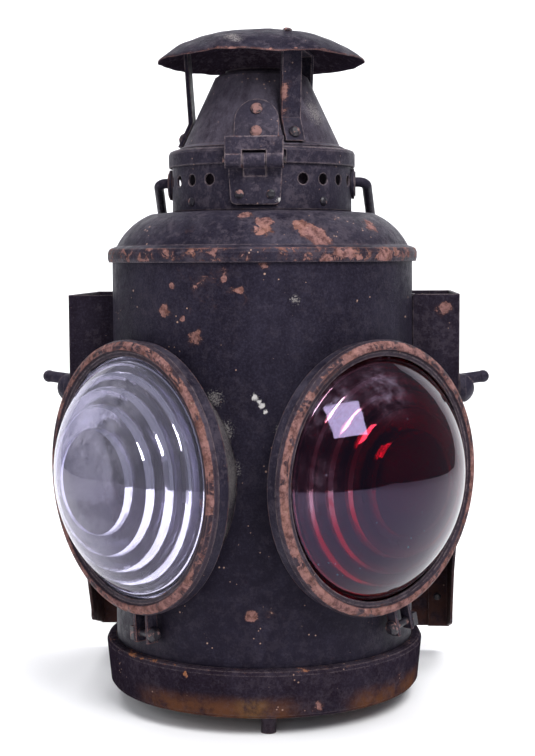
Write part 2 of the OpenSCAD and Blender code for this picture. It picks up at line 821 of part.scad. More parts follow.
// Distance behind the pivot at which a bail leg passes over a given distance from the axis
bail_slant = 1.13;
leg_spread = tan(bail_flare) * bail_slant;
function leg_back(r) =
    (sqrt(pow(leg_spread * bail_leg_x, 2) + (1 + pow(leg_spread, 2)) * (r * r - bail_leg_x * bail_leg_x))
        - leg_spread * bail_leg_x) / (1 + pow(leg_spread, 2));
// Angle below the horizontal at which the bail clears the shoulder everywhere
bail_rest = min([for (i = [0:dome_steps]) let (p = dome_point(i, shoulder_r)) if (p[0] > bail_leg_x + 2 * bail_wire_r)
    atan((bail_z - p[1] - (bail_wire_r + bail_clear) * bail_slant) / leg_back(p[0]))]);

// Places along the bail, in its own plane
bail_elbow_x = bail_leg_x - bail_elbow_r * cos(bail_flare);
bail_leg_start = bail_elbow_r * (1 - sin(bail_flare));
bail_leg_end = bail_reach - bail_corner_r * (1 + sin(bail_flare));
bail_leg_len = (bail_leg_end - bail_leg_start) / cos(bail_flare);
bail_corner_x = bail_leg_x + bail_leg_len * sin(bail_flare) - bail_corner_r * cos(bail_flare);

// Half of the bail, in a plane with X across the lamp and Y along the leg
module bail_half() {
    translate([pivot_in, 0, 0]) rotate([0, 90, 0])
        cylinder(h = bail_elbow_x - pivot_in - bail_sleeve_gap, r = bail_wire_r, $fn = 32);
    translate([pivot_in - 0.6, 0, 0]) rotate([0, 90, 0])
        cylinder(h = 1.6, r = bail_wire_r + 1.4, $fn = 32);
    translate([bail_elbow_x - bail_sleeve_h / 2, 0, 0]) rotate([0, 90, 0])
        cylinder(h = bail_sleeve_h, r = bail_wire_r + 0.06, $fn = 32);
    bail_bend(bail_elbow_x, bail_elbow_r, bail_elbow_r, -90, 90 - bail_flare);
    bail_straight(bail_leg_x, bail_leg_start, 90 - bail_flare, bail_leg_len);
    bail_bend(bail_corner_x, bail_reach - bail_corner_r, bail_corner_r, -bail_flare, 90 + bail_flare);
}

// Inner end of the pivot, inside the band
pivot_in = band_r - sheet - 1.6;

module bail_handle() {
    color("#1f1c20") translate([0, 0, bail_z]) rotate([-bail_rest, 0, 0]) {
        bail_half();
        rotate([0, 180, 0]) bail_half();
        bail_straight(-bail_corner_x, bail_reach, 0, 2 * bail_corner_x);
    }
}

module bail_ear(side) {
    color("#29272e") difference() {
        translate([side * (band_r - 4), 0, ear_z]) rotate([0, side * 90, 0]) {
            cylinder(h = 4 + ear_t - 0.7, r = ear_r);
            cylinder(h = 4 + ear_t, r = ear_r - 1.6);
        }
        translate([0, 0, neck_z]) cylinder(h = band_h, r = band_r + seam);
        translate([0, 0, bail_z]) rotate([0, 90, 0])
            cylinder(h = 2 * cradle_x, r = bail_wire_r + running, center = true, $fn = 48);
    }
}

module lens_barrel(side) {
    start = 40;
    start_r = barrel_r - barrel_slope * (barrel_bend_l - start);
    color("#2b2930") difference() {
        on_lens(side) rotate_extrude() polygon([
            [start_r - sheet, start],
            [start_r, start],
            [barrel_r, barrel_bend_l],
            [barrel_r, lens_face - 0.6],
            [barrel_r - sheet, lens_face - 0.6],
            [barrel_r - sheet, seat_l],
            [lens_lip_r, seat_l],
            [lens_lip_r, seat_l - sheet],
            [barrel_r - sheet - 1.5, seat_l - sheet],
            [barrel_r - sheet - 1, barrel_bend_l]]);
        translate([0, 0, lens_z]) cylinder(h = 2 * lens_z, r = body_r - sheet, center = true);
    }
}

module lens_gasket(side) {
    color("#1b191a") on_lens(side)
        washer(seat_l + 0.05, gasket_t - 0.1, lens_r - 0.2, lens_r - 4);
}

// Radius of a lens's dome, and the station of its centre along the lens axis
lens_dome_r = (pow(ring_open_r, 2) + pow(lens_rise, 2)) / (2 * lens_rise);
lens_dome_l = lens_face + lens_rise - lens_dome_r;

// Station of the lens's outer face at a distance from its axis
function lens_out(r) = lens_dome_l + sqrt(pow(lens_dome_r, 2) - pow(r, 2));
// Radius at the outer end of a step: each step takes in the same area as the plain middle
function step_r(i) = i > lens_steps ? lens_lip_r : (lens_r - lens_border) * sqrt(i / lens_steps);
// Station of the inner face at the outer end of a step
function step_l(i) = lens_out(step_r(i)) - lens_glass_t;

// A lens with a smooth dome outside and terraced circles inside
module lens(side) {
    half = asin(ring_open_r / lens_dome_r);
    rings = 16;
    dome = [for (i = [0:rings])
        [lens_dome_r * sin(half * i / rings), lens_dome_l + lens_dome_r * cos(half * i / rings)]];
    terraces = [for (i = [lens_steps + 1:-1:1]) each [
        [step_r(i), step_l(i)],
        [step_r(i - 1), step_l(i) + 0.3 * (lens_out(step_r(i - 1)) - lens_out(step_r(i)))]]];
    on_lens(side) rotate_extrude() polygon(concat(
        dome,
        [[ring_open_r, lens_face], [lens_r, lens_face], [lens_r, lens_back], [step_r(lens_steps + 1), lens_back]],
        terraces));
}

module lens_ring(side) {
    face = lens_face + 0.3;
    ridge = 1.8;
    color("#3a2823") on_lens(side) rotate_extrude() polygon([
        [ring_open_r + 0.3, face],
        [ring_open_r + 0.3, face + sheet],
        [ring_open_r + 2.6, face + sheet],
        [ring_open_r + 4, face + sheet + ridge],
        [ring_r - 3, face + sheet + ridge],
        [ring_r - 0.8, face + sheet],
        [ring_r, face - 0.8],
        [ring_r, face - 1.6],
        [ring_wall_r + sheet, face - 1.6],
        [ring_wall_r + sheet, ring_back_l],
        [ring_wall_r, ring_back_l],
        [ring_wall_r, face]]);
}

function clamp_turn(side) = side < 0 ? clamp_turn_left : clamp_turn_right;
clamp_l = lens_face - 1.6 - clamp_w;

// A split strap round the ring, with two ears bent outwards at the bottom
module clamp_band(side) {
    color("#2e2420") on_lens(side) rotate([0, 0, clamp_turn(side)]) difference() {
        union() {
            washer(clamp_l, clamp_w, band_in_r + clamp_t, band_in_r);
            for (ear = [-1, 1]) {
                translate([ear * (clamp_gap + clamp_t) / 2 - clamp_t / 2, -band_in_r - clamp_ear_h, clamp_l])
                    cube([clamp_t, clamp_ear_h, clamp_w]);
            }
        }
        translate([-clamp_gap / 2, -band_in_r - clamp_t - cut, clamp_l - cut])
            cube([clamp_gap, clamp_t + 3, clamp_w + 2 * cut]);
        clamp_screw_axis() translate([0, 0, -15]) cylinder(h = 30, r = clamp_screw_r + running, $fn = 32);
    }
}

module clamp_screw_axis() {
    translate([0, -band_in_r - clamp_screw_l, clamp_l + clamp_w / 2]) rotate([0, 90, 0]) children();
}

module clamp_screw(side) {
    reach = clamp_gap / 2 + clamp_t;
    color("#2b2726") on_lens(side) rotate([0, 0, clamp_turn(side)]) clamp_screw_axis() mirror([0, 0, side < 0 ? 0 : 1]) {
        translate([0, 0, reach + 0.05]) head(4.2, 3.6);
        translate([0, 0, -reach - 5.5]) cylinder(h = 2 * reach + 6, r = clamp_screw_r, $fn = 32);
    }
}

module clamp_nut(side) {
    reach = clamp_gap / 2 + clamp_t;
    color("#2b2726") on_lens(side) rotate([0, 0, clamp_turn(side)]) clamp_screw_axis() mirror([0, 0, side < 0 ? 0 : 1])
        difference() {
            translate([-3.8, -3.8, -reach - 3.6]) cube([7.6, 7.6, 3.5]);
            translate([0, 0, -reach - 5]) cylinder(h = 6, r = clamp_screw_r + running, $fn = 32);
        }
}

function back_rivet_heights() = [cradle_bottom + 20, lens_z, cradle_top - 20];

module cradle_back() {
    color("#26232a") difference() {
        translate([-cradle_x, cradle_y, cradle_bottom])
            cube([2 * cradle_x, back_t, cradle_top - cradle_bottom]);
        for (x = [-1, 1], z = [-1, 1]) {
            translate([x * mount_dx / 2, cradle_y - cut, lens_z + z * mount_dz / 2]) rotate([-90, 0, 0])
                cylinder(h = back_t + 2 * cut, r = mount_hole_r, $fn = 48);
        }
        back_rivet_bores();
    }
}

module back_rivet_bores() {
    for (side = [-1, 1], z = back_rivet_heights()) {
        translate([side * (cradle_x - 8), cradle_y - 6, z]) rotate([-90, 0, 0])
            cylinder(h = 14, r = rivet_r + running, $fn = 24);
    }
}

module cradle_side(side) {
    inner_x = body_r + 0.3;
    slope_y = cradle_y - seam;
    color("#26232a") mirror([side < 0 ? 1 : 0, 0, 0]) difference() {
        union() {
            rotate([90, 0, 90]) translate([0, 0, cradle_x - cradle_t]) linear_extrude(cradle_t) polygon([
                [wing_y, cradle_slope_z],
                [wing_y, cradle_top],
                [slope_y, cradle_top],
                [slope_y, cradle_bottom],
                [cradle_toe + cradle_toe_cut, cradle_bottom + cradle_toe_up],
                [cradle_toe, cradle_bottom + cradle_toe_up + cradle_toe_cut],
                [cradle_toe, cradle_bottom + cradle_toe_h],
                [cradle_knee, cradle_slope_z - cradle_knee]]);
            translate([inner_x, wing_y, cradle_slope_z])
                cube([cradle_x - inner_x, cradle_t, cradle_top - cradle_slope_z]);
            translate([inner_x, wing_y, cradle_slope_z])
                cube([cradle_t, wing_lip - wing_y, cradle_top - cradle_slope_z]);
            translate([cradle_x - rear_flange_w, slope_y - cradle_t, cradle_bottom])
                cube([rear_flange_w, cradle_t, cradle_top - cradle_bottom]);
        }
        wing_bores();
        back_rivet_bores();
        translate([cradle_x - 6, lock_y, lock_z]) rotate([0, 90, 0])
            cylinder(h = 12, r = lock_shaft_r + running, $fn = 48);
    }
}

module cradle_rivets() {
    color("#1f1c20") for (side = [-1, 1], z = back_rivet_heights()) {
        translate([side * (cradle_x - 8), cradle_y - seam - cradle_t - 0.05, z]) rotate([90, 0, 0])
            rivet(small_head_r, small_head_h, cradle_t + back_t);
    }
}

module wing_rivets() {
    face_x = body_r + 0.3 + cradle_t + 0.05;
    color("#1f1c20") for (side = [-1, 1], z = wing_rivet_heights()) {
        translate([side * face_x, wing_lip / 2, z]) rotate([0, side * 90, 0])
            rivet(small_head_r, small_head_h, 5);
    }
}

// A quarter-turn lever outside the wall, whose shaft carries a lock plate inside it
module lock_lever(side) {
    color("#2b2726") mirror([side < 0 ? 1 : 0, 0, 0]) translate([cradle_x, lock_y, lock_z]) rotate([0, 90, 0]) {
        translate([0, 0, 0.3]) cylinder(h = lock_hub_t, r = lock_hub_r);
        translate([0, 0, 0.3 + lock_hub_t]) round_cap(lock_hub_r, lock_hub_dome);
        translate([0, 0, -cradle_t - 4.4]) cylinder(h = cradle_t + 6, r = lock_shaft_r, $fn = 48);
        translate([-lock_finger_up + 1.4, 0, 1.6]) rotate([0, -8, 0]) {
            cylinder(h = lock_finger_l, r = lock_finger_r, $fn = 32);
            translate([0, 0, lock_finger_l]) sphere(r = lock_finger_r + lock_finger_ball, $fn = 32);
        }
    }
}

module lock_plate(side) {
    color("#2b2726") mirror([side < 0 ? 1 : 0, 0, 0]) translate([cradle_x, lock_y, lock_z]) rotate([0, 90, 0])
        difference() {
            translate([-4, -5.5, -cradle_t - 4.3]) cube([20, 11, 3.2]);
            translate([0, 0, -cradle_t - 6]) cylinder(h = 6, r = lock_shaft_r + 0.02, $fn = 48);
        }
}

module fount_seat() {
    color("#231f24") {
        washer(pan_top + 0.05, seat_h, fount_r + 1.7, fount_r + 0.4);
        washer(pan_top + 0.05, sheet, fount_r + 6, fount_r + 1.5);
    }
}

module oil_fount() {
    wall = 0.8;
    color("#8a7434") rotate_extrude() polygon([
        [0, fount_z],
        [fount_r - 2, fount_z],
        [fount_r, fount_z + 2],
        [fount_r, fount_shoulder_z],
        [fount_r * 0.86, fount_shoulder_z + 5.6],
        [collar_r + 2, fount_top - 0.6],
        [collar_r + 2, fount_top],
        [collar_r - 3, fount_top],
        [collar_r - 3, fount_top - wall],
        [collar_r + 1.4, fount_top - wall - 0.6],
        [fount_r * 0.85, fount_shoulder_z + 4.8],
        [fount_r - wall, fount_shoulder_z - 0.4],
        [fount_r - wall, fount_z + 2.4],
        [fount_r - 2.4, fount_z + wall],
        [0, fount_z + wall]]);
}

module fount_collar() {
    color("#8a7434") {
        washer(fount_top + 0.05, collar_h - 0.1, collar_r, collar_r - 1.6);
        washer(fount_top + 0.05, 1.4, collar_r + 1.8, collar_r - 1.6);
    }
}

module burner_body() {
    color("#8a7434") difference() {
        union() {
            washer(burner_z, burner_h, burner_r, burner_r - 1);
            washer(burner_z, 1.4, burner_r + 3.6, burner_r - 1);
            washer(burner_z - collar_h + 2, collar_h - 1.9, collar_r - 1.8, collar_r - 2.8);
            translate([0, 0, burner_z]) cylinder(h = 1.4, r = burner_r);
        }
        for (i = [0:15]) {
            outwards(i * 22.5 + 11.25, burner_r - 3, burner_z + burner_h - 3)
                cylinder(h = 5, r = 1.3, $fn = 24);
        }
        wick_slot(0.3 + tube_wall, burner_z - cut, 4);
        translate([0, wheel_y, wheel_z]) rotate([0, 90, 0])
            cylinder(h = 2 * burner_r, r = wheel_shaft_r + running, $fn = 32);
    }
}

// A block of the wick's section, grown all round
module wick_slot(grow, z, h) {
    translate([-wick_w / 2 - grow, -wick_t / 2 - grow, z]) cube([wick_w + 2 * grow, wick_t + 2 * grow, h]);
}

module wick_tube() {
    clear = 0.3;
    foot = burner_z - 9;
    color("#8a7434") difference() {
        wick_slot(clear + tube_wall - 0.05, foot, tube_top - foot);
        wick_slot(clear, foot - cut, tube_top - foot + 2 * cut);
        translate([-wheel_w / 2 - 0.6, -wick_t / 2 - clear - tube_wall - cut, wheel_z - wheel_r - 0.6])
            cube([wheel_w + 1.2, tube_wall + cut + 0.05, 2 * wheel_r + 1.2]);
    }
}

module wick() {
    color("#cfc6ae") wick_slot(0, fount_z + wick_out, tube_top - fount_z);
}

// The toothed wheel that raises the wick, with its shaft and thumb disc
module wick_wheel() {
    color("#8a7434") translate([0, wheel_y, wheel_z]) rotate([0, 90, 0]) {
        translate([0, 0, -wheel_w / 2]) cylinder(h = wheel_w, r = wheel_r, $fn = 48);
        translate([0, 0, -wheel_w / 2]) cylinder(h = thumb_reach + wheel_w, r = wheel_shaft_r, $fn = 32);
        translate([0, 0, thumb_reach]) cylinder(h = thumb_t, r = thumb_r, $fn = 48);
    }
}

module burner_cap() {
    foot = burner_z + burner_h + 0.05;
    top = tube_top + burner_cap_rise;
    color("#8a7434") difference() {
        rotate_extrude() polygon([
            [burner_r * 0.92, foot],
            [burner_r * 1.027, foot],
            [burner_r * 1.027, foot + burner_h * 0.13],
            [burner_r * 0.867, foot + burner_h * 0.75],
            [burner_r * 0.56, top - burner_h * 0.12],
            [0, top],
            [0, top - burner_h * 0.07],
            [burner_r * 0.52, top - burner_h * 0.18],
            [burner_r * 0.813, foot + burner_h * 0.72],
            [burner_r * 0.92, foot + burner_h * 0.25]]);
        wick_slot(flame_gap, top - 2 * burner_cap_rise, 3 * burner_cap_rise);
    }
}

foot_pegs();
base_skirt();
floor_pan();
body_shell();
shoulder_dome();
neck_band();
draught_baffle();
baffle_rivets();
lid_ring();
chimney_cone();
inner_flue();
umbrella_cap();
cap_strap(strap_angles()[0]);  // cap_strap_front
cap_strap(strap_angles()[1]);  // cap_strap_rear
cap_strap(strap_angles()[2]);  // cap_strap_left
strap_rivets();
hinge_lower_leaf();
hinge_upper_leaf();
hinge_pin();
hinge_lower_rivets();
hinge_upper_rivets();
lid_catch();
catch_rivets();
bail_handle();
bail_ear(-1);  // bail_ear_left
bail_ear(1);  // bail_ear_right
lens_barrel(-1);  // lens_barrel_left
lens_barrel(1);  // lens_barrel_right
lens_gasket(-1);  // lens_gasket_left
lens_gasket(1);  // lens_gasket_right
color("#cfd3dc") lens(-1);  // clear_lens
color("#5c1119") lens(1);  // red_lens
lens_ring(-1);  // lens_ring_left
lens_ring(1);  // lens_ring_right
clamp_band(-1);  // clamp_band_left
clamp_band(1);  // clamp_band_right
clamp_screw(-1);  // clamp_screw_left
clamp_screw(1);  // clamp_screw_right
clamp_nut(-1);  // clamp_nut_left
clamp_nut(1);  // clamp_nut_right
cradle_back();
cradle_side(-1);  // cradle_side_left
cradle_side(1);  // cradle_side_right
cradle_rivets();
wing_rivets();
lock_lever(-1);  // lock_lever_left
lock_lever(1);  // lock_lever_right
lock_plate(-1);  // lock_plate_left
lock_plate(1);  // lock_plate_right
fount_seat();
oil_fount();
fount_collar();
burner_body();
wick_tube();
wick();
wick_wheel();
burner_cap();
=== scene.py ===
"""A railway classification lamp of worn black sheet steel, with a clear and a red domed lens.

Every length is in metres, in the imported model's own frame: +Z up, the lid's hinge towards -Y, the red lens
towards +X. An angle "about the lamp" is measured from -Y towards +X. Angles are in degrees. A pair of
heights or radii is (low, high).
"""

import math

import bmesh
import bpy
from mathutils import Matrix, Vector, noise


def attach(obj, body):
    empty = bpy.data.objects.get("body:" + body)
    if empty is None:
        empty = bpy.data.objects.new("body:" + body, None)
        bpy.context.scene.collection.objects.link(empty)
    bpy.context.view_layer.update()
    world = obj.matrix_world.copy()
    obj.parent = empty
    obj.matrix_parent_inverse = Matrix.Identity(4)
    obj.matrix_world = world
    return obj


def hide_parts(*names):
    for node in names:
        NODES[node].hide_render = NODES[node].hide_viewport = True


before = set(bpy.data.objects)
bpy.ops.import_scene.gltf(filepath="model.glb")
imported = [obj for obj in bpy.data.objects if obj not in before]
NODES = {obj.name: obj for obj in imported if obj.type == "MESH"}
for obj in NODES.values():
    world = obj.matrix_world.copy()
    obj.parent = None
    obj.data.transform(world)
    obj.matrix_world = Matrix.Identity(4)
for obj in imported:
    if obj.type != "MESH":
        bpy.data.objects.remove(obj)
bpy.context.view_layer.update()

# The camera stands in front of the lamp, slightly to its right; its lens and sensor are in millimetres
CAMERA_DISTANCE = 0.890
CAMERA_ANGLE = 4.0
CAMERA_HEIGHT = 0.2605
CAMERA_TILT = 4.57
CAMERA_AIM_RIGHT = 0.172
CAMERA_ROLL = 0.30
CAMERA_LENS = 71.5
CAMERA_SENSOR = 36.0

# The pale floor, the wall it curves up into, and the room's own light
FLOOR_HALF_WIDTH = 1.6
FLOOR_FRONT = -0.95
FLOOR_BACK = 1.1
SWEEP_R = 0.5
SWEEP_TOP = 1.9
SWEEP_PARTS = 12
ROOM_LIGHT = 0.22

# The body, the skirt round its foot and the rolled bead above it
BODY_R = 0.0882
BARREL_GRIT_R = 0.100
SKIRT_R = 0.0932
SKIRT_FOOT_Z = (0.009, 0.0165)
SKIRT_LIP_Z = (0.0364, 0.0380)
BEAD_Z = (0.2592, 0.2660)

# The lenses, with stations along each lens's own axis
LENS_Z = 0.1395
LENS_TURN = 45.0
LENS_FACE = 0.098
LENS_R = 0.069
LENS_EDGE = 0.0045
LENS_OPEN_R = 0.0672
LENS_RISE = 0.034
LENS_GLASS_T = 0.008
LENS_DOME_R = (LENS_OPEN_R**2 + LENS_RISE**2) / (2 * LENS_RISE)
LENS_DOME_L = LENS_FACE + LENS_RISE - LENS_DOME_R
RING_FACE_R = (0.0711, 0.0753)

# A lens's inside: a smooth eye, terraces of equal area round it, a plain border and the seat on the gasket.
# Across its width a terrace rises by LENS_STEP_RISE of what the dome outside rises there
LENS_STEPS = 5
LENS_STEP_RISE = 0.3
LENS_STEP_PARTS = 5
LENS_RINGS = 40
LENS_SEGMENTS = 160
LENS_BORDER = 0.008
LENS_SEAT = 0.005
LENS_EYE_R = (LENS_R - LENS_BORDER) / math.sqrt(LENS_STEPS)

# The rain cap, with its turned lip and its dents; its underside is narrower than its top by a share
CAP_R = 0.0604
CAP_RISE = 0.0166
CAP_RIM_Z = 0.3753
CAP_POWER = 3.1
CAP_LIP = 0.0009
CAP_LIP_EDGE = 0.0007
CAP_UNDER_SHARE = 0.975
CAP_SINK = 0.0006
CAP_BROAD_DENT = 0.0013
CAP_SMALL_DENT = 0.0006
CAP_RINGS = 28
CAP_SEGMENTS = 144
SHEET = 0.0012

# The bail
BAIL_WIRE_R = 0.0029
BAIL_PIVOT_Z = 0.3046
BAIL_PIVOT_IN = 0.0498
BAIL_HEAD_R = 0.0043
BAIL_HEAD_T = 0.0012
BAIL_LEG_X = 0.0616
BAIL_REACH = 0.105
BAIL_FLARE = 3.6
BAIL_REST = 26.81
BAIL_ELBOW_R = 0.0051
BAIL_CORNER_R = 0.022

# Colours of paint, rust and dirt, and of painted shade and highlight
# The darker tone of the paint, also laid low on the body as painted shade
PAINT_DARK_AND_SHADE = (0.0062, 0.0048, 0.0098, 1)
PAINT_LIGHT = (0.0230, 0.0200, 0.0330, 1)
PAINT_STAINED = (0.040, 0.021, 0.022, 1)
PAINT_BROWN = (0.034, 0.018, 0.018, 1)
RUST_DARK = (0.058, 0.026, 0.025, 1)
RUST_LIGHT = (0.235, 0.122, 0.112, 1)
RUST_RAW = (0.350, 0.225, 0.180, 1)
RUST_ORANGE = (0.240, 0.095, 0.036, 1)
DUST = (0.108, 0.094, 0.122, 1)
GRIT = (0.215, 0.196, 0.190, 1)
SCUFF = (0.085, 0.068, 0.084, 1)
# Pale edges: bare metal worn through, and a painted highlight along them
EDGE_WEAR_AND_HIGHLIGHT = (0.260, 0.200, 0.205, 1)
SMEAR_ORANGE = (0.088, 0.036, 0.018, 1)
SMEAR_BROWN = (0.060, 0.026, 0.020, 1)
SMEAR_OCHRE = (0.150, 0.080, 0.030, 1)
CHIP_WHITE = (0.50, 0.48, 0.47, 1)
PAINT_SHEEN = (0.84, 0.76, 1.0, 1)

# Colours of the glass, of the haze on it and of the terraces behind it
CLEAR_GLASS = (0.82, 0.80, 0.98, 1)
CLEAR_HAZE = (0.78, 0.75, 0.92, 1)
CLEAR_TERRACES = (0.72, 0.69, 0.88, 1)
RED_GLASS = (0.135, 0.0007, 0.004, 1)
RED_HAZE = (0.50, 0.42, 0.60, 1)
RED_TERRACES = (0.80, 0.06, 0.14, 1)
GLASS_SHEEN = (0.70, 0.58, 1.0, 1)


def on_lamp(angle, radius, z):
    """The point at an angle about the lamp, a radius and a height."""
    turn = math.radians(angle)
    return Vector((radius * math.sin(turn), -radius * math.cos(turn), z))


def marks_at(radius, marks):
    """Turns marks given as (angle, height, ...) at one radius from the lamp's axis into (point, ...)."""
    return [(on_lamp(angle, radius, z), *rest) for angle, z, *rest in marks]


def lens_axes(side):
    """The matrix whose own +Z runs out of the lamp along the lens's axis, from the lamp's axis."""
    out = on_lamp(side * LENS_TURN, 1, 0)
    across = Vector((0, 0, 1)).cross(out)
    turned = Matrix((across, Vector((0, 0, 1)), out)).transposed().to_4x4()
    return Matrix.Translation((0, 0, LENS_Z)) @ turned


# Materials


class Graph:
    """A material's node tree, with short calls for the nodes that the finishes use."""

    def __init__(self, name):
        self.material = bpy.data.materials.new(name)
        self.material.use_nodes = True
        self.tree = self.material.node_tree
        self.tree.nodes.clear()
        self.place = self.node("ShaderNodeTexCoord").outputs["Object"]

    def node(self, kind, inputs=None, **settings):
        made = self.tree.nodes.new(kind)
        for key, value in settings.items():
            setattr(made, key, value)
        for key, value in (inputs or {}).items():
            self.feed(made.inputs[key], value)
        return made

    def feed(self, socket, value):
        """Links a socket to another one, or sets it to a plain value."""
        if isinstance(value, bpy.types.NodeSocket):
            self.tree.links.new(value, socket)
        else:
            socket.default_value = value

    def noise(self, scale, detail=5.0, roughness=0.55, distortion=0.0, place=None):
        inputs = {
            "Vector": place or self.place,
            "Scale": scale,
            "Detail": detail,
            "Roughness": roughness,
            "Distortion": distortion,
        }
        return self.node("ShaderNodeTexNoise", inputs).outputs["Fac"]

    def stretched(self, scale):
        """The place scaled by three factors, for grain that runs one way."""
        inputs = {"Vector": self.place, "Scale": scale}
        return self.node("ShaderNodeMapping", inputs).outputs["Vector"]

    def math(self, operation, a, b=0.0, clamp=False):
        made = self.node("ShaderNodeMath", {0: a, 1: b}, operation=operation, use_clamp=clamp)
        return made.outputs["Value"]

    def total(self, values):
        """The sum of several values."""
        result = values[0]
        for value in values[1:]:
            result = self.math("ADD", result, value)
        return result

    def vector(self, operation, a, b=None, output="Vector"):
        inputs = {0: a} if b is None else {0: a, 1: b}
        return self.node("ShaderNodeVectorMath", inputs, operation=operation).outputs[output]

    def step(self, value, low, high, to_low=0.0, to_high=1.0):
        """value's place between low and high, eased, as a number from to_low to to_high."""
        inputs = {"Value": value, "From Min": low, "From Max": high, "To Min": to_low, "To Max": to_high}
        made = self.node("ShaderNodeMapRange", inputs, interpolation_type="SMOOTHSTEP")
        return made.outputs["Result"]

    def mix(self, factor, a, b):
        """A colour between a and b."""
        # A Mix node names three kinds of inputs alike, so its colour sockets are found by number
        made = self.node("ShaderNodeMix", data_type="RGBA")
        for index, value in ((0, factor), (6, a), (7, b)):
            self.feed(made.inputs[index], value)
        return made.outputs[2]

    def true_normal(self):
        """The surface's own normal, before rounding and bumps."""
        return self.node("ShaderNodeNewGeometry").outputs["Normal"]

    def rounded(self, radius):
        """The normal of the surface with its sharp edges rounded."""
        return self.node("ShaderNodeBevel", {"Radius": radius}, samples=5).outputs["Normal"]

    def edges(self, rounded):
        """Near 1 along the surface's own sharp edges, from its rounded normal."""
        likeness = self.vector("DOT_PRODUCT", rounded, self.true_normal(), output="Value")
        return self.step(self.math("SUBTRACT", 1.0, likeness), 0.004, 0.09)

    def axis_part(self, axis, vector=None):
        """One coordinate of the place, or of another vector."""
        parts = self.node("ShaderNodeSeparateXYZ", {0: vector or self.place}).outputs
        return parts["XYZ".index(axis)]

    def lamp_radius(self):
        """Distance from the lamp's own axis."""
        flat = self.vector("MULTIPLY", self.place, (1, 1, 0))
        return self.vector("LENGTH", flat, output="Value")

    def lens_radius(self, side):
        """Distance from a lens's axis."""
        out = on_lamp(side * LENS_TURN, 1, 0)
        local = self.vector("SUBTRACT", self.place, (0, 0, LENS_Z))
        return self.vector("LENGTH", self.vector("CROSS_PRODUCT", local, tuple(out)), output="Value")

    def band(self, value, low, high, soft):
        """1 where value lies between low and high, fading out over soft on both sides."""
        rising = self.step(value, low - soft, low)
        falling = self.step(value, high, high + soft, 1.0, 0.0)
        return self.math("MULTIPLY", rising, falling)

    def spot(self, centre, radius):
        """1 at a point, fading to 0 at a radius round it."""
        away = self.vector("DISTANCE", self.place, tuple(centre), output="Value")
        return self.step(away, 0.0, radius, 1.0, 0.0)

    def specks(self, scale, size, strength=1.0):
        """Round specks, one at most in each cell of a loose grid, whose size may vary over the surface."""
        cells = self.node("ShaderNodeTexVoronoi", {"Vector": self.place, "Scale": scale})
        return self.step(self.math("SUBTRACT", size, cells.outputs["Distance"]), 0.0, 0.03, 0.0, strength)

    def bump(self, height, distance, strength=1.0, normal=None):
        inputs = {"Height": height, "Distance": distance, "Strength": strength}
        if normal is not None:
            inputs["Normal"] = normal
        return self.node("ShaderNodeBump", inputs).outputs["Normal"]

    def finish(self, **inputs):
        """Ends the tree in a Principled shader whose sockets are named with underscores for spaces."""
        named = {key.replace("_", " "): value for key, value in inputs.items()}
        shader = self.node("ShaderNodeBsdfPrincipled", named)
        self.node("ShaderNodeOutputMaterial", {"Surface": shader.outputs["BSDF"]})
        return self.material


def wear_level(g, broad, edge, edge_wear, bands, spots):
    """How near the paint is to chipping off: noise, and more on sharp edges, in bands and at spots."""
    parts = [
        g.noise(120, detail=10, roughness=0.72, distortion=0.5),
        g.math("MULTIPLY", g.math("SUBTRACT", broad, 0.5), 0.34),
        g.math("MULTIPLY", edge, edge_wear),
    ]
    parts += [g.math("MULTIPLY", band(g), amount) for band, amount in bands]
    parts += [g.math("MULTIPLY", g.spot(centre, radius), amount) for centre, radius, amount in spots]
    return g.total(parts)


def aged_paint(g, broad, stained, smears_and_shade, brown, scuff):
    """Cloudy black paint with streaks and grain, thin rust and painted shade laid over it, stains round the
    chips, and rubbed places.
    """
    cloudy = g.noise(38, detail=8, roughness=0.68)
    streaks = g.noise(34, detail=7, roughness=0.68, place=g.stretched((1, 1, 0.16)))
    grain = g.noise(780, detail=4, roughness=0.75)
    tone = g.step(g.math("MULTIPLY", cloudy, streaks), 0.14, 0.40)
    tone = g.math("ADD", g.math("MULTIPLY", tone, 0.50), g.step(grain, 0.42, 0.68, 0.0, 0.60), clamp=True)
    paint = g.mix(tone, PAINT_DARK_AND_SHADE, PAINT_LIGHT)
    # Thin rust laid over the paint, and on the body's lower half painted shade
    for mask, smear_or_shade in smears_and_shade:
        patchy = g.step(g.noise(90, detail=8, roughness=0.72), 0.28, 0.60)
        paint = g.mix(g.math("MULTIPLY", mask(g), patchy), paint, smear_or_shade)
    paint = g.mix(g.math("MULTIPLY", stained, 0.6), paint, PAINT_STAINED)
    paint = g.mix(brown, paint, PAINT_BROWN)
    rubbed = g.math("ADD", g.noise(210, detail=10, roughness=0.80), g.math("MULTIPLY", broad, 0.30))
    return g.mix(g.step(rubbed, 0.655, 0.735, 0.0, scuff), paint, SCUFF)


def dust_cover(g, dust, film):
    """Dust that has settled on upward faces, fine specks of it on all faces, and a brushed film."""
    upward = g.step(g.axis_part("Z", g.true_normal()), 0.05, 0.9)
    settled = g.math("MULTIPLY", upward, g.step(g.noise(60, detail=9, roughness=0.75), 0.38, 0.70))
    fine = g.step(g.noise(1000, detail=3, roughness=0.6), 0.60, 0.68)
    cover = g.math("MULTIPLY", g.math("ADD", settled, g.math("MULTIPLY", fine, 0.4)), dust, clamp=True)
    if film:
        brushed = g.noise(110, detail=8, roughness=0.75, place=g.stretched((1, 1, 0.22)))
        cover = g.math("ADD", cover, g.step(brushed, 0.30, 0.72, 0.0, film), clamp=True)
    return cover


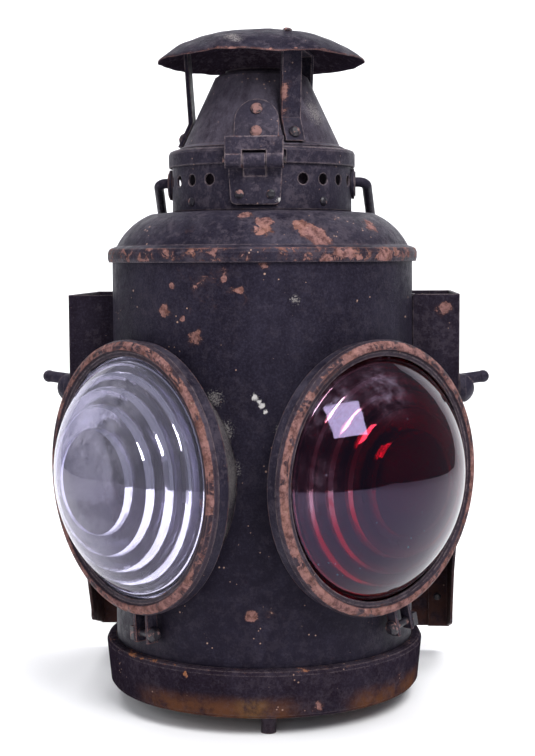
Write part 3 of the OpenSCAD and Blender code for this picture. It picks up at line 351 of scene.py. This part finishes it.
def rust_colour(g, orange):
    """Mottled rust, a share of it orange, with raw grains."""
    rust = g.mix(g.step(g.noise(260, detail=7, roughness=0.75), 0.34, 0.64), RUST_DARK, RUST_LIGHT)
    rust = g.mix(g.math("MULTIPLY", g.step(g.noise(70, detail=4), 0.40, 0.62), orange), rust, RUST_ORANGE)
    return g.mix(g.step(g.noise(420, detail=5, roughness=0.7), 0.60, 0.70, 0.0, 0.55), rust, RUST_RAW)


def grit_mask(g, centre, radius):
    """Dry grit that thins out away from a point."""
    near = g.spot(centre, radius)
    gritty = g.math("ADD", g.math("MULTIPLY", near, 0.20), g.noise(1300, detail=3, roughness=0.7))
    within = g.step(near, 0.0, 0.35)
    return g.math("MULTIPLY", within, g.step(gritty, 0.62, 0.70, 0.0, 0.70))


def chip_mask(g, centre, radius):
    """A ragged chip round a point."""
    near = g.spot(centre, radius)
    ragged = g.math("ADD", g.math("MULTIPLY", near, 0.40), g.noise(700, detail=6, roughness=0.85))
    return g.math("MULTIPLY", g.step(ragged, 0.76, 0.79), g.step(near, 0.0, 0.2))


def worn_steel(name, wear=0.0, edge_wear=0.2, edge_r=0.0012, edge_line=0.45, bands=(), spots=(), whites=(),
               grimes=(), smears_and_shade=(), dust=0.25, film=0.0, brown=0.0, orange=0.12, speckles=0.6, scuff=0.30,
               sheen=0.18):
    """Black paint on rusting sheet steel.

    wear shifts how much paint has chipped away everywhere, and edge_wear how much more along sharp edges.
    edge_r is how far an edge looks rounded, and edge_line how strong the pale line along it is: bare metal,
    with a painted highlight on the edge.
    Each band is (function of the graph giving 0 to 1, how much more wear), each spot (point, radius, how much
    more wear), whites are (point, radius) of pale chips, grimes (point, radius) of dry grey grit, and smears
    (function of the graph, colour) of thin rust on the paint, which also carry painted shade. dust is how thick
    dust lies, film how much more of it is brushed over every face, brown how far the paint itself has browned,
    orange the share of the rust that is orange, speckles how strong the small rust specks are, scuff how
    strongly the paint is rubbed, and sheen is the shader's specular level.
    """
    g = Graph(name)
    rounded = g.rounded(edge_r)
    edge = g.edges(rounded)
    broad = g.noise(24, detail=3, roughness=0.5)
    level = wear_level(g, broad, edge, edge_wear, bands, spots)
    chipped = g.step(level, 0.728 - wear, 0.742 - wear)
    stained = g.step(level, 0.62 - wear, 0.74 - wear)
    dusty = dust_cover(g, dust, film)

    paint = g.mix(dusty, aged_paint(g, broad, stained, smears_and_shade, brown, scuff), DUST)
    # A pale line along sharp edges: bare metal, and a painted highlight
    broken = g.step(g.noise(300, detail=6, roughness=0.7), 0.34, 0.60, 0.0, edge_line)
    paint = g.mix(g.math("MULTIPLY", edge, broken), paint, EDGE_WEAR_AND_HIGHLIGHT)
    colour = g.mix(chipped, paint, rust_colour(g, orange))
    speck_size = g.step(g.noise(60, detail=3), 0.50, 0.70, 0.0, 0.20)
    colour = g.mix(g.specks(300, speck_size, speckles), colour, RUST_RAW)
    for centre, radius in grimes:
        colour = g.mix(grit_mask(g, centre, radius), colour, GRIT)
    white = 0.0
    for centre, radius in whites:
        mask = chip_mask(g, centre, radius)
        colour = g.mix(mask, colour, CHIP_WHITE)
        white = g.math("MAXIMUM", white, mask)

    gloss = g.step(g.noise(150, detail=7, roughness=0.7), 0.30, 0.72, 0.40, 0.62)
    rough = g.math("MAXIMUM", gloss, g.math("MULTIPLY", chipped, 0.88))
    rough = g.math("MAXIMUM", rough, g.math("MULTIPLY", dusty, 0.95))
    relief = g.total([
        g.math("MULTIPLY", g.noise(950, detail=5, roughness=0.7), 0.26),
        g.math("MULTIPLY", g.noise(45, detail=3), 0.5),
        g.math("MULTIPLY", chipped, -0.20),
        g.math("MULTIPLY", white, -0.15),
    ])
    normal = g.bump(relief, 0.0009, 0.9, rounded)
    return g.finish(Base_Color=colour, Roughness=rough, Normal=normal, Specular_IOR_Level=sheen,
                    Specular_Tint=PAINT_SHEEN)


def bead_band(g):
    """The rolled bead between the body and the dome."""
    return g.band(g.axis_part("Z"), *BEAD_Z, 0.0010)


def skirt_foot(g):
    """The lower edge of the base skirt."""
    return g.band(g.axis_part("Z"), *SKIRT_FOOT_Z, 0.006)


def skirt_front(g):
    """The patch low on the front of the base skirt that has lost most of its paint."""
    left = g.spot(on_lamp(-17, SKIRT_R, 0.0165), 0.036)
    middle = g.spot(on_lamp(2, SKIRT_R, 0.017), 0.020)
    return g.math("MULTIPLY", skirt_foot(g), g.math("MAXIMUM", left, middle))


def skirt_smear(g):
    """Thin rust along the foot of the skirt, strongest in front."""
    low = g.step(g.axis_part("Z"), 0.0155, 0.0255, 1.0, 0.0)
    front = g.spot(on_lamp(-14, SKIRT_R, 0.016), 0.070)
    right = g.spot(on_lamp(58, SKIRT_R, 0.016), 0.055)
    return g.math("MULTIPLY", low, g.step(g.math("MAXIMUM", front, right), 0.05, 0.55))


def skirt_ochre(g):
    """A small ochre stain in the middle of the skirt's foot."""
    low = g.step(g.axis_part("Z"), 0.018, 0.024, 1.0, 0.0)
    return g.math("MULTIPLY", low, g.spot(on_lamp(0, SKIRT_R, 0.018), 0.013))


def skirt_lip(g):
    """The rolled lip on top of the skirt."""
    return g.band(g.axis_part("Z"), *SKIRT_LIP_Z, 0.0007)


def cap_rim(g):
    """The rim of the rain cap."""
    return g.band(g.lamp_radius(), CAP_R - 0.0008, CAP_R + 0.001, 0.0012)


def ring_face(side):
    """The flat front of the ring round a lens."""
    def band(g):
        return g.band(g.lens_radius(side), *RING_FACE_R, 0.0008)
    return band


def body_low_painted_shade(g):
    """Painted shade: the body darker towards the bottom, where less light falls."""
    return g.step(g.axis_part("Z"), 0.070, 0.200, 0.8, 0.0)


def cradle_foot(g):
    """The rustier lower end of the cradle."""
    return g.step(g.axis_part("Z"), 0.034, 0.105, 1.0, 0.0)


def glass(name, side, colour, haze_colour, clear_share, hazes, film_from, shine):
    """Pressed glass with a film of dust and flecks on its outside, and slight waves.

    clear_share of the light passes clean glass, and the rest meets its own colour. hazes are (point, radius)
    of milky patches, film_from is how rare the dust is, from 0 for an even film to 1 for none, and shine is the
    shader's specular level.
    """
    g = Graph(name)
    centre = on_lamp(side * LENS_TURN, LENS_DOME_L, LENS_Z)
    outside = g.step(g.vector("DISTANCE", g.place, tuple(centre), output="Value"),
                     LENS_DOME_R - 0.0008, LENS_DOME_R - 0.0004)
    film = g.noise(48, detail=9, roughness=0.75, distortion=0.8)
    milky = g.step(film, film_from, film_from + 0.30, 0.0, 0.30)
    for place, radius in hazes:
        clouds = g.step(g.noise(95, detail=9, roughness=0.78), 0.34, 0.68)
        milky = g.math("MAXIMUM", milky, g.math("MULTIPLY", g.spot(place, radius), clouds))
    flecks = g.specks(190, g.step(g.noise(40, detail=2), 0.42, 0.66, 0.0, 0.13))
    veil = g.math("MULTIPLY", g.math("MAXIMUM", milky, g.math("MULTIPLY", flecks, 0.8)), outside)
    tint = g.mix(veil, colour, haze_colour)
    rough = g.math("ADD", g.math("MULTIPLY", veil, 0.20), 0.012)
    passing = g.math("SUBTRACT", clear_share, g.math("MULTIPLY", veil, 0.22))
    normal = g.bump(g.noise(60, detail=2), 0.0004, 0.25)
    return g.finish(Base_Color=tint, Roughness=rough, Normal=normal, IOR=1.5, Transmission_Weight=passing,
                    Specular_IOR_Level=shine, Specular_Tint=GLASS_SHEEN)


def pressed_terraces(name, colour, mirror):
    """The inside of a lens, whose terraces send part of the light back as prisms do, by a mirror's share."""
    g = Graph(name)
    dust = g.step(g.noise(140, detail=9, roughness=0.80), 0.46, 0.74)
    dulled = tuple(0.35 * part for part in colour[:3]) + (1,)
    tint = g.mix(dust, colour, dulled)
    rough = g.step(dust, 0.0, 1.0, 0.03, 0.22)
    normal = g.bump(g.noise(75, detail=3), 0.0006, 0.35)
    return g.finish(Base_Color=tint, Roughness=rough, Normal=normal, IOR=1.5, Transmission_Weight=1.0,
                    Metallic=mirror)


def brass(name):
    g = Graph(name)
    tarnish = g.step(g.noise(70, detail=6, roughness=0.65), 0.36, 0.66)
    colour = g.mix(tarnish, (0.42, 0.27, 0.10, 1), (0.12, 0.075, 0.035, 1))
    rough = g.step(tarnish, 0.0, 1.0, 0.30, 0.62)
    normal = g.bump(g.noise(500, detail=4), 0.0003, 0.4)
    return g.finish(Base_Color=colour, Metallic=1.0, Roughness=rough, Normal=normal)


def dark_fastener(name, rusty):
    """Dark steel of rivets and screws, rusty in a share of its patches."""
    g = Graph(name)
    patch = g.step(g.noise(240, detail=6, roughness=0.7), 0.56 - 0.3 * rusty, 0.66 - 0.3 * rusty)
    colour = g.mix(patch, (0.013, 0.011, 0.017, 1), RUST_LIGHT)
    rough = g.step(patch, 0.0, 1.0, 0.42, 0.85)
    normal = g.bump(g.noise(650, detail=5), 0.0004, 0.6)
    return g.finish(Base_Color=colour, Roughness=rough, Normal=normal)


def gasket_cord(name):
    g = Graph(name)
    fibres = g.noise(1500, detail=4, roughness=0.7)
    colour = g.mix(g.step(fibres, 0.35, 0.7), (0.010, 0.009, 0.009, 1), (0.045, 0.040, 0.036, 1))
    return g.finish(Base_Color=colour, Roughness=0.9, Normal=g.bump(fibres, 0.0003, 0.6))


def woven_wick(name):
    """Woven cotton, charred at its upper end."""
    g = Graph(name)
    ribs = {"Vector": g.place, "Scale": 900.0, "Distortion": 0.6}
    across = g.node("ShaderNodeTexWave", ribs, bands_direction="X").outputs["Fac"]
    along = g.node("ShaderNodeTexWave", ribs, bands_direction="Z").outputs["Fac"]
    weave = g.math("MULTIPLY", across, along)
    charred = g.step(g.axis_part("Z"), 0.116, 0.124)
    cotton = g.mix(g.step(g.noise(80), 0.3, 0.7), (0.58, 0.50, 0.36, 1), (0.36, 0.28, 0.17, 1))
    colour = g.mix(charred, cotton, (0.012, 0.011, 0.010, 1))
    return g.finish(Base_Color=colour, Roughness=0.95, Normal=g.bump(weave, 0.0004, 0.8))


# Geometry


def add_mesh(name, bm, material, body, sharp=30):
    """Turns a bmesh into a shaded object that rides on a body."""
    mesh = bpy.data.meshes.new(name)
    bmesh.ops.recalc_face_normals(bm, faces=bm.faces)
    bm.to_mesh(mesh)
    bm.free()
    mesh.shade_smooth()
    mesh.set_sharp_from_angle(angle=math.radians(sharp))
    mesh.materials.append(material)
    piece = bpy.data.objects.new(name, mesh)
    bpy.context.scene.collection.objects.link(piece)
    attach(piece, body)
    return piece


def revolve(profile, segments, matrix=Matrix.Identity(4), warp=None):
    """A closed form made by turning a closed profile of (radius, height) points about its own +Z."""
    bm = bmesh.new()
    rings = []
    for radius, height in profile:
        if radius < 1e-7:
            rings.append([bm.verts.new((0, 0, height))])
            continue
        turns = [2 * math.pi * i / segments for i in range(segments)]
        rings.append([bm.verts.new((radius * math.cos(t), radius * math.sin(t), height)) for t in turns])
    for lower, upper in zip(rings, rings[1:] + rings[:1]):
        if len(lower) == 1 and len(upper) == 1:
            continue
        for i in range(segments):
            corners = [lower[i % len(lower)], lower[(i + 1) % len(lower)],
                       upper[(i + 1) % len(upper)], upper[i % len(upper)]]
            # Where a ring is one point on the axis, two corners are the same and the face has three
            bm.faces.new(list(dict.fromkeys(corners)))
    if warp:
        for vert in bm.verts:
            vert.co = warp(vert.co)
    bm.transform(matrix)
    return bm


def lens_out(radius):
    """Station of a lens's outer face at a distance from its axis."""
    return LENS_DOME_L + math.sqrt(LENS_DOME_R**2 - radius**2)


def lens_step_r(i):
    """Outer radius of a terrace inside a lens, where 0 is its middle and LENS_STEPS + 1 its plain border."""
    return LENS_R - LENS_SEAT if i > LENS_STEPS else LENS_EYE_R * math.sqrt(i)


def lens_profile():
    """A smooth dome outside and terraces inside, as (distance from the lens axis, station along it)."""
    half = math.asin(LENS_OPEN_R / LENS_DOME_R)
    turns = [half * i / LENS_RINGS for i in range(LENS_RINGS)]
    points = [(LENS_DOME_R * math.sin(t), LENS_DOME_L + LENS_DOME_R * math.cos(t)) for t in turns]
    back = LENS_FACE - LENS_EDGE
    points += [(LENS_OPEN_R, LENS_FACE), (LENS_R, LENS_FACE), (LENS_R, back)]
    points.append((lens_step_r(LENS_STEPS + 1), back))
    for i in range(LENS_STEPS + 1, 0, -1):
        outer, inner = lens_step_r(i), lens_step_r(i - 1)
        foot = lens_out(outer) - LENS_GLASS_T
        rise = LENS_STEP_RISE * (lens_out(inner) - lens_out(outer))
        for k in range(LENS_STEP_PARTS + 1):
            share = k / LENS_STEP_PARTS
            points.append((outer + (inner - outer) * share, foot + rise * (1 - (1 - share) ** 2)))
    return points


def make_lens(name, side, node, material, terrace_material):
    """A lens whose inward faces have the terraces' material, all but its eye."""
    bm = revolve(lens_profile(), LENS_SEGMENTS, lens_axes(side))
    piece = add_mesh(name, bm, material, "root", sharp=28)
    piece.data.materials.append(terrace_material)
    out = on_lamp(side * LENS_TURN, 1, 0)
    middle = on_lamp(side * LENS_TURN, LENS_FACE, LENS_Z)
    for face in piece.data.polygons:
        from_axis = (face.center - middle).cross(out).length
        if face.normal.dot(out) < -0.05 and from_axis > LENS_EYE_R:
            face.material_index = 1
    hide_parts(node)


def cap_height(radius):
    """Height of the rain cap's top at a distance from the lamp's axis."""
    return CAP_RIM_Z + CAP_RISE * (1 - (radius / CAP_R) ** CAP_POWER)


def dented(point):
    """Shifts a point of the rain cap by its dents, which are deepest near the rim."""
    share = min(math.hypot(point.x, point.y) / CAP_R, 1)
    broad = noise.noise(Vector((point.x, point.y, 0)) * 34)
    small = noise.noise(Vector((point.x, point.y, 3)) * 120)
    sink = CAP_BROAD_DENT * broad * share + CAP_SMALL_DENT * small - CAP_SINK
    return Vector((point.x, point.y, point.z + sink))


def make_rain_cap(material, under_material):
    """The rain cap, with a darker material underneath as painted shade."""
    # The rings lie closer together towards the rim, where the cap curves most
    radii = [CAP_R * (i / CAP_RINGS) ** 0.8 for i in range(CAP_RINGS + 1)]
    top = [(radius, cap_height(radius)) for radius in radii]
    lip = [(CAP_R, CAP_RIM_Z - CAP_LIP_EDGE), (CAP_R - CAP_LIP, CAP_RIM_Z - CAP_LIP)]
    under = [(radius * CAP_UNDER_SHARE, height - SHEET) for radius, height in reversed(top[:-1])]
    bm = revolve(top + lip + under, CAP_SEGMENTS, warp=dented)
    piece = add_mesh("rain_cap_skin", bm, material, "lid", sharp=50)
    piece.data.materials.append(under_material)
    # Faces that look down take the darker material: painted shade under the cap
    for face in piece.data.polygons:
        if face.normal.z < -0.3:
            face.material_index = 1
    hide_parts("umbrella_cap")


def bail_half_path():
    """Points along half of the bail's wire in its own plane, from its pivot to the middle of its grip."""
    flare = math.radians(BAIL_FLARE)
    elbow_x = BAIL_LEG_X - BAIL_ELBOW_R * math.cos(flare)
    leg_start = BAIL_ELBOW_R * (1 - math.sin(flare))
    leg_end = BAIL_REACH - BAIL_CORNER_R * (1 + math.sin(flare))
    corner_x = BAIL_LEG_X + (leg_end - leg_start) * math.tan(flare) - BAIL_CORNER_R * math.cos(flare)
    corner_l = BAIL_REACH - BAIL_CORNER_R
    points = [(BAIL_PIVOT_IN, 0.0)]
    for i in range(9):
        turn = -math.pi / 2 + (math.pi / 2 - flare) * i / 8
        points.append((elbow_x + BAIL_ELBOW_R * math.cos(turn), BAIL_ELBOW_R * (1 + math.sin(turn))))
    for i in range(13):
        turn = -flare + (math.pi / 2 + flare) * i / 12
        points.append((corner_x + BAIL_CORNER_R * math.cos(turn), corner_l + BAIL_CORNER_R * math.sin(turn)))
    return points


def tube(path, radius, sides=20):
    """A closed tube along a list of points that lie in one plane with normal +Z."""
    bm = bmesh.new()
    rings = []
    for i, point in enumerate(path):
        before = path[max(i - 1, 0)]
        after = path[min(i + 1, len(path) - 1)]
        along = (after - before).normalized()
        side = Vector((0, 0, 1)).cross(along)
        turns = [2 * math.pi * k / sides for k in range(sides)]
        spread = [side * math.cos(t) * radius + Vector((0, 0, math.sin(t) * radius)) for t in turns]
        rings.append([bm.verts.new(point + away) for away in spread])
    for lower, upper in zip(rings, rings[1:]):
        for k in range(sides):
            bm.faces.new((lower[k], lower[(k + 1) % sides], upper[(k + 1) % sides], upper[k]))
    bm.faces.new(rings[0][::-1])
    bm.faces.new(rings[-1])
    return bm


def make_bail(material):
    """The bail's wire with a flat head on each inner end, folded back to its rest."""
    half = bail_half_path()
    path = [Vector((x, l, 0)) for x, l in half]
    path += [Vector((-x, l, 0)) for x, l in reversed(half)]
    bm = tube(path, BAIL_WIRE_R)
    for side in (1, -1):
        turned = Matrix.Translation((side * BAIL_PIVOT_IN, 0, 0)) @ Matrix.Rotation(math.pi / 2, 4, "Y")
        bmesh.ops.create_cone(bm, cap_ends=True, segments=24, radius1=BAIL_HEAD_R, radius2=BAIL_HEAD_R,
                              depth=BAIL_HEAD_T, matrix=turned)
    bm.transform(Matrix.Translation((0, 0, BAIL_PIVOT_Z)) @ Matrix.Rotation(math.radians(-BAIL_REST), 4, "X"))
    piece = add_mesh("bail_wire", bm, material, "bail", sharp=60)
    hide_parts("bail_handle")


# Stage


def make_camera():
    data = bpy.data.cameras.new("camera")
    data.sensor_fit = "VERTICAL"
    data.sensor_height = CAMERA_SENSOR
    data.lens = CAMERA_LENS
    camera = bpy.data.objects.new("camera", data)
    bpy.context.scene.collection.objects.link(camera)
    turn = Matrix.Rotation(math.radians(CAMERA_ANGLE - CAMERA_AIM_RIGHT), 4, "Z")
    tilt = Matrix.Rotation(math.radians(90 - CAMERA_TILT), 4, "X")
    roll = Matrix.Rotation(math.radians(-CAMERA_ROLL), 4, "Z")
    place = Matrix.Translation(on_lamp(CAMERA_ANGLE, CAMERA_DISTANCE, CAMERA_HEIGHT))
    camera.matrix_world = place @ turn @ tilt @ roll
    bpy.context.scene.camera = camera


def make_sweep():
    """A pale floor that curves up into a wall behind the lamp."""
    g = Graph("pale_paper")
    material = g.finish(Base_Color=(0.90, 0.90, 0.91, 1), Roughness=0.85, Specular_IOR_Level=0.15)
    profile = [(FLOOR_FRONT, 0.0), (FLOOR_BACK, 0.0)]
    for i in range(1, SWEEP_PARTS + 1):
        turn = math.pi / 2 * i / SWEEP_PARTS
        profile.append((FLOOR_BACK + SWEEP_R * math.sin(turn), SWEEP_R * (1 - math.cos(turn))))
    profile.append((FLOOR_BACK + SWEEP_R, SWEEP_TOP))
    bm = bmesh.new()
    left = [bm.verts.new((-FLOOR_HALF_WIDTH, y, z)) for y, z in profile]
    right = [bm.verts.new((FLOOR_HALF_WIDTH, y, z)) for y, z in profile]
    for i in range(len(profile) - 1):
        bm.faces.new((left[i], right[i], right[i + 1], left[i + 1]))
    mesh = bpy.data.meshes.new("sweep")
    bm.to_mesh(mesh)
    bm.free()
    mesh.shade_smooth()
    mesh.materials.append(material)
    sweep = bpy.data.objects.new("sweep", mesh)
    bpy.context.scene.collection.objects.link(sweep)


def area_light(name, place, target, width, height, power, reflected=True):
    """A rectangular light aimed at a target. Where reflected is False, gloss and glass don't show it."""
    data = bpy.data.lights.new(name, "AREA")
    data.shape = "RECTANGLE"
    data.size = width
    data.size_y = height
    data.energy = power
    light = bpy.data.objects.new(name, data)
    bpy.context.scene.collection.objects.link(light)
    aim = (Vector(target) - Vector(place)).to_track_quat("-Z", "Y")
    light.matrix_world = Matrix.Translation(place) @ aim.to_matrix().to_4x4()
    light.visible_glossy = reflected
    light.visible_transmission = reflected


def make_lights():
    world = bpy.data.worlds.new("room")
    world.use_nodes = True
    background = world.node_tree.nodes["Background"]
    background.inputs["Color"].default_value = (0.82, 0.84, 1.0, 1)
    background.inputs["Strength"].default_value = ROOM_LIGHT
    bpy.context.scene.world = world
    middle = (0, 0, 0.18)
    area_light("softbox", (0.475, -0.84, 1.02), (0.05, -0.10, 0.17), 0.58, 0.58, 16)
    area_light("overhead", (0.0, 0.0, 1.9), middle, 2.2, 2.2, 24.5, reflected=False)
    area_light("left_fill", (-1.5, -0.5, 0.7), middle, 0.9, 1.2, 8.5, reflected=False)
    area_light("right_fill", (1.5, -0.4, 0.6), middle, 0.9, 1.2, 2, reflected=False)
    area_light("front_fill", (-0.3, -1.9, 0.9), middle, 1.2, 0.9, 6, reflected=False)
    area_light("backdrop", (0.0, 0.35, 1.7), (0, 1.6, 0.5), 2.6, 0.6, 30, reflected=False)


# The pieces and their finishes


def dress(names, material):
    """Gives CAD nodes one material in every slot."""
    for name in names:
        node = NODES[name]
        node.data.materials.clear()
        node.data.materials.append(material)


def make_cap_and_bail():
    cap = worn_steel(
        "worn_cap", wear=-0.01, edge_wear=0.16, edge_line=0.7, dust=0.06, scuff=0.35, sheen=0.08,
        bands=[(cap_rim, 0.17)],
        grimes=[(on_lamp(-16, 0.049, 0.3835), 0.008), (on_lamp(-11, 0.053, 0.3815), 0.006)])
    # The cap's underside: darker paint with fewer chips and no sheen, painted shade
    under_shade_paint = worn_steel("cap_underside_shade", wear=-0.10, edge_wear=0.0, dust=0.0, brown=0.2, speckles=0.1, scuff=0.25,
                      sheen=0.0)
    make_rain_cap(cap, under_shade_paint)
    make_bail(worn_steel("worn_wire", wear=-0.05, edge_wear=0.0, dust=0.1))


def make_lenses():
    clear = glass("clear_glass", -1, CLEAR_GLASS, CLEAR_HAZE, clear_share=0.955, film_from=0.48, shine=0.32,
                  hazes=[((-0.095, -0.090, 0.175), 0.060), ((-0.100, -0.085, 0.110), 0.050)])
    clear_inside = pressed_terraces("clear_terraces", CLEAR_TERRACES, mirror=0.36)
    make_lens("clear_lens_glass", -1, "clear_lens", clear, clear_inside)
    red = glass("red_glass", 1, RED_GLASS, RED_HAZE, clear_share=0.992, film_from=0.58, shine=0.15,
                hazes=[((0.036, -0.103, 0.187), 0.034), ((0.072, -0.090, 0.192), 0.026),
                       ((0.032, -0.104, 0.140), 0.030)])
    red_inside = pressed_terraces("red_terraces", RED_TERRACES, mirror=0.05)
    make_lens("red_lens_glass", 1, "red_lens", red, red_inside)


def dress_body(fittings):
    dome = worn_steel(
        "worn_dome", edge_wear=0.08, dust=0.24, orange=0.2, speckles=0.75, scuff=0.32,
        bands=[(bead_band, 0.185)],
        spots=[(on_lamp(4.3, 0.0797, 0.2765), 0.011, 0.36), (on_lamp(5.0, 0.0745, 0.2812), 0.007, 0.33),
               (on_lamp(20.4, 0.0797, 0.2765), 0.011, 0.38), (on_lamp(26.0, 0.0828, 0.2720), 0.012, 0.36),
               (on_lamp(-4.5, 0.0702, 0.2839), 0.007, 0.33), (on_lamp(54.9, 0.0775, 0.2785), 0.010, 0.34),
               (on_lamp(-24.5, 0.0800, 0.2759), 0.006, 0.28)])
    dress(["shoulder_dome"], dome)
    body = worn_steel(
        "worn_body_with_shade", wear=-0.045, edge_wear=0.12, dust=0.15, speckles=0.85, scuff=0.10, sheen=0.12,
        # The body's lower half is darkened with painted shade
        smears_and_shade=[(body_low_painted_shade, PAINT_DARK_AND_SHADE)],
        spots=marks_at(BODY_R, [
            (-34.1, 0.2319, 0.0072, 0.40), (-20.1, 0.2182, 0.0100, 0.38), (-29.9, 0.2456, 0.0042, 0.36),
            (-25.3, 0.2278, 0.0030, 0.36), (-3.8, 0.2435, 0.0032, 0.32), (-9.5, 0.2494, 0.0028, 0.32),
            (-20, 0.243, 0.034, 0.13), (-6, 0.246, 0.024, 0.12), (4.6, 0.2580, 0.0070, 0.36),
            (-0.7, 0.0668, 0.0056, 0.36), (6, 0.075, 0.034, 0.10)]),
        grimes=marks_at(BODY_R, [
            (15.3, 0.238, 0.0045), (-13.2, 0.185, 0.008), (-9.9, 0.168, 0.009), (-7.8, 0.147, 0.009),
            (10.0, 0.168, 0.006)]),
        whites=marks_at(BODY_R, [
            (1.0, 0.1862, 0.0040), (2.6, 0.1840, 0.0035), (3.6, 0.1815, 0.0038), (4.8, 0.1782, 0.0030)]))
    dress(["body_shell"], body)
    for side, name in ((-1, "left"), (1, "right")):
        barrel = worn_steel(
            f"worn_barrel_{name}", wear=-0.03, dust=0.5,
            grimes=marks_at(BARREL_GRIT_R, [
                (side * 8, 0.176, 0.036), (side * 7, 0.144, 0.036), (side * 8, 0.110, 0.026)]))
        dress([f"lens_barrel_{name}"], barrel)
        ring = worn_steel(
            f"worn_ring_{name}", wear=0.005, edge_wear=0.12, edge_r=0.0014, edge_line=0.7, dust=0.15,
            brown=0.30, bands=[(ring_face(side), 0.265)])
        dress([f"lens_ring_{name}"], ring)
        dress([f"clamp_band_{name}"], fittings)
    skirt = worn_steel(
        "worn_skirt", wear=-0.02, edge_wear=0.05, dust=0.16, brown=0.15, orange=0.75, scuff=0.15, sheen=0.0,
        bands=[(skirt_foot, 0.04), (skirt_front, 0.10), (skirt_lip, 0.12)],
        smears_and_shade=[(skirt_smear, SMEAR_ORANGE), (skirt_ochre, SMEAR_OCHRE)],
        spots=marks_at(SKIRT_R, [
            (60, 0.0190, 0.020, 0.12), (22.9, 0.0173, 0.007, 0.24), (-23.6, 0.0334, 0.0042, 0.34)]))
    dress(["base_skirt", "floor_pan"], skirt)
    dress(["foot_pegs"], worn_steel("worn_pegs", wear=0.03, dust=0.0, brown=0.4))


def dress_chimney(fittings):
    neck = worn_steel(
        "worn_neck", wear=-0.03, edge_wear=0.10, edge_line=0.7, dust=0.32, film=0.08, scuff=0.35)
    dress(["neck_band", "lid_ring"], neck)
    cone = worn_steel(
        "worn_cone", wear=-0.03, edge_wear=0.08, dust=0.60, film=0.50, brown=0.10, scuff=0.35,
        grimes=[(on_lamp(58, 0.037, 0.343), 0.014)])
    dress(["chimney_cone"], cone)
    straps = worn_steel(
        "worn_straps", edge_wear=0.14, edge_line=0.7,
        spots=[(on_lamp(20, 0.046, 0.3560), 0.012, 0.24), (on_lamp(20, 0.046, 0.3510), 0.008, 0.30),
               (on_lamp(22, 0.045, 0.3400), 0.009, 0.28)])
    dress(["cap_strap_front", "cap_strap_rear", "cap_strap_left"], straps)
    hinge = worn_steel(
        "worn_hinge", edge_wear=0.16, edge_r=0.0013, edge_line=1.0, dust=0.45, film=0.15, scuff=0.6,
        whites=[(on_lamp(14.5, 0.0558, 0.2925), 0.0050)])
    dress(["hinge_upper_leaf", "hinge_lower_leaf"], hinge)
    dress(["lid_catch", "bail_ear_left", "bail_ear_right"], fittings)


def dress_cradle():
    cradle = worn_steel(
        "worn_cradle", wear=-0.01, edge_wear=0.10, dust=0.08, brown=0.12, scuff=0.2, sheen=0.05,
        bands=[(cradle_foot, 0.07)], smears_and_shade=[(cradle_foot, SMEAR_BROWN)],
        spots=[((0.1062, -0.001, 0.2313), 0.0090, 0.40)])
    dress(["cradle_back", "cradle_side_left", "cradle_side_right"], cradle)
    forged = worn_steel("worn_levers", wear=-0.06, edge_wear=0.1, dust=0.35, speckles=0.2)
    dress(["lock_lever_left", "lock_lever_right", "lock_plate_left", "lock_plate_right"], forged)


def dress_small_pieces():
    dark = dark_fastener("dark_rivets", 0.12)
    dress(["baffle_rivets", "strap_rivets", "hinge_lower_rivets", "catch_rivets", "cradle_rivets"], dark)
    dress(["wing_rivets", "hinge_pin"], dark)
    dress(["clamp_screw_left", "clamp_screw_right", "clamp_nut_left", "clamp_nut_right"], dark)
    dress(["hinge_upper_rivets"], dark_fastener("rusty_rivets", 0.45))
    dress(["lens_gasket_left", "lens_gasket_right"], gasket_cord("gasket_cord"))
    sooty = worn_steel("sooty_steel", wear=-0.08, edge_wear=0.05, dust=0.1, brown=0.3, speckles=0.1)
    dress(["inner_flue", "draught_baffle", "fount_seat"], sooty)
    old_brass = brass("old_brass")
    dress(["oil_fount", "fount_collar", "burner_body", "wick_tube", "burner_cap", "wick_wheel"], old_brass)
    dress(["wick"], woven_wick("cotton_wick"))


def make_pieces():
    fittings = worn_steel("worn_fittings", dust=0.30)
    make_cap_and_bail()
    make_lenses()
    dress_body(fittings)
    dress_chimney(fittings)
    dress_cradle()
    dress_small_pieces()


bpy.context.scene.view_settings.view_transform = "Standard"
make_camera()
make_sweep()
make_lights()
make_pieces()
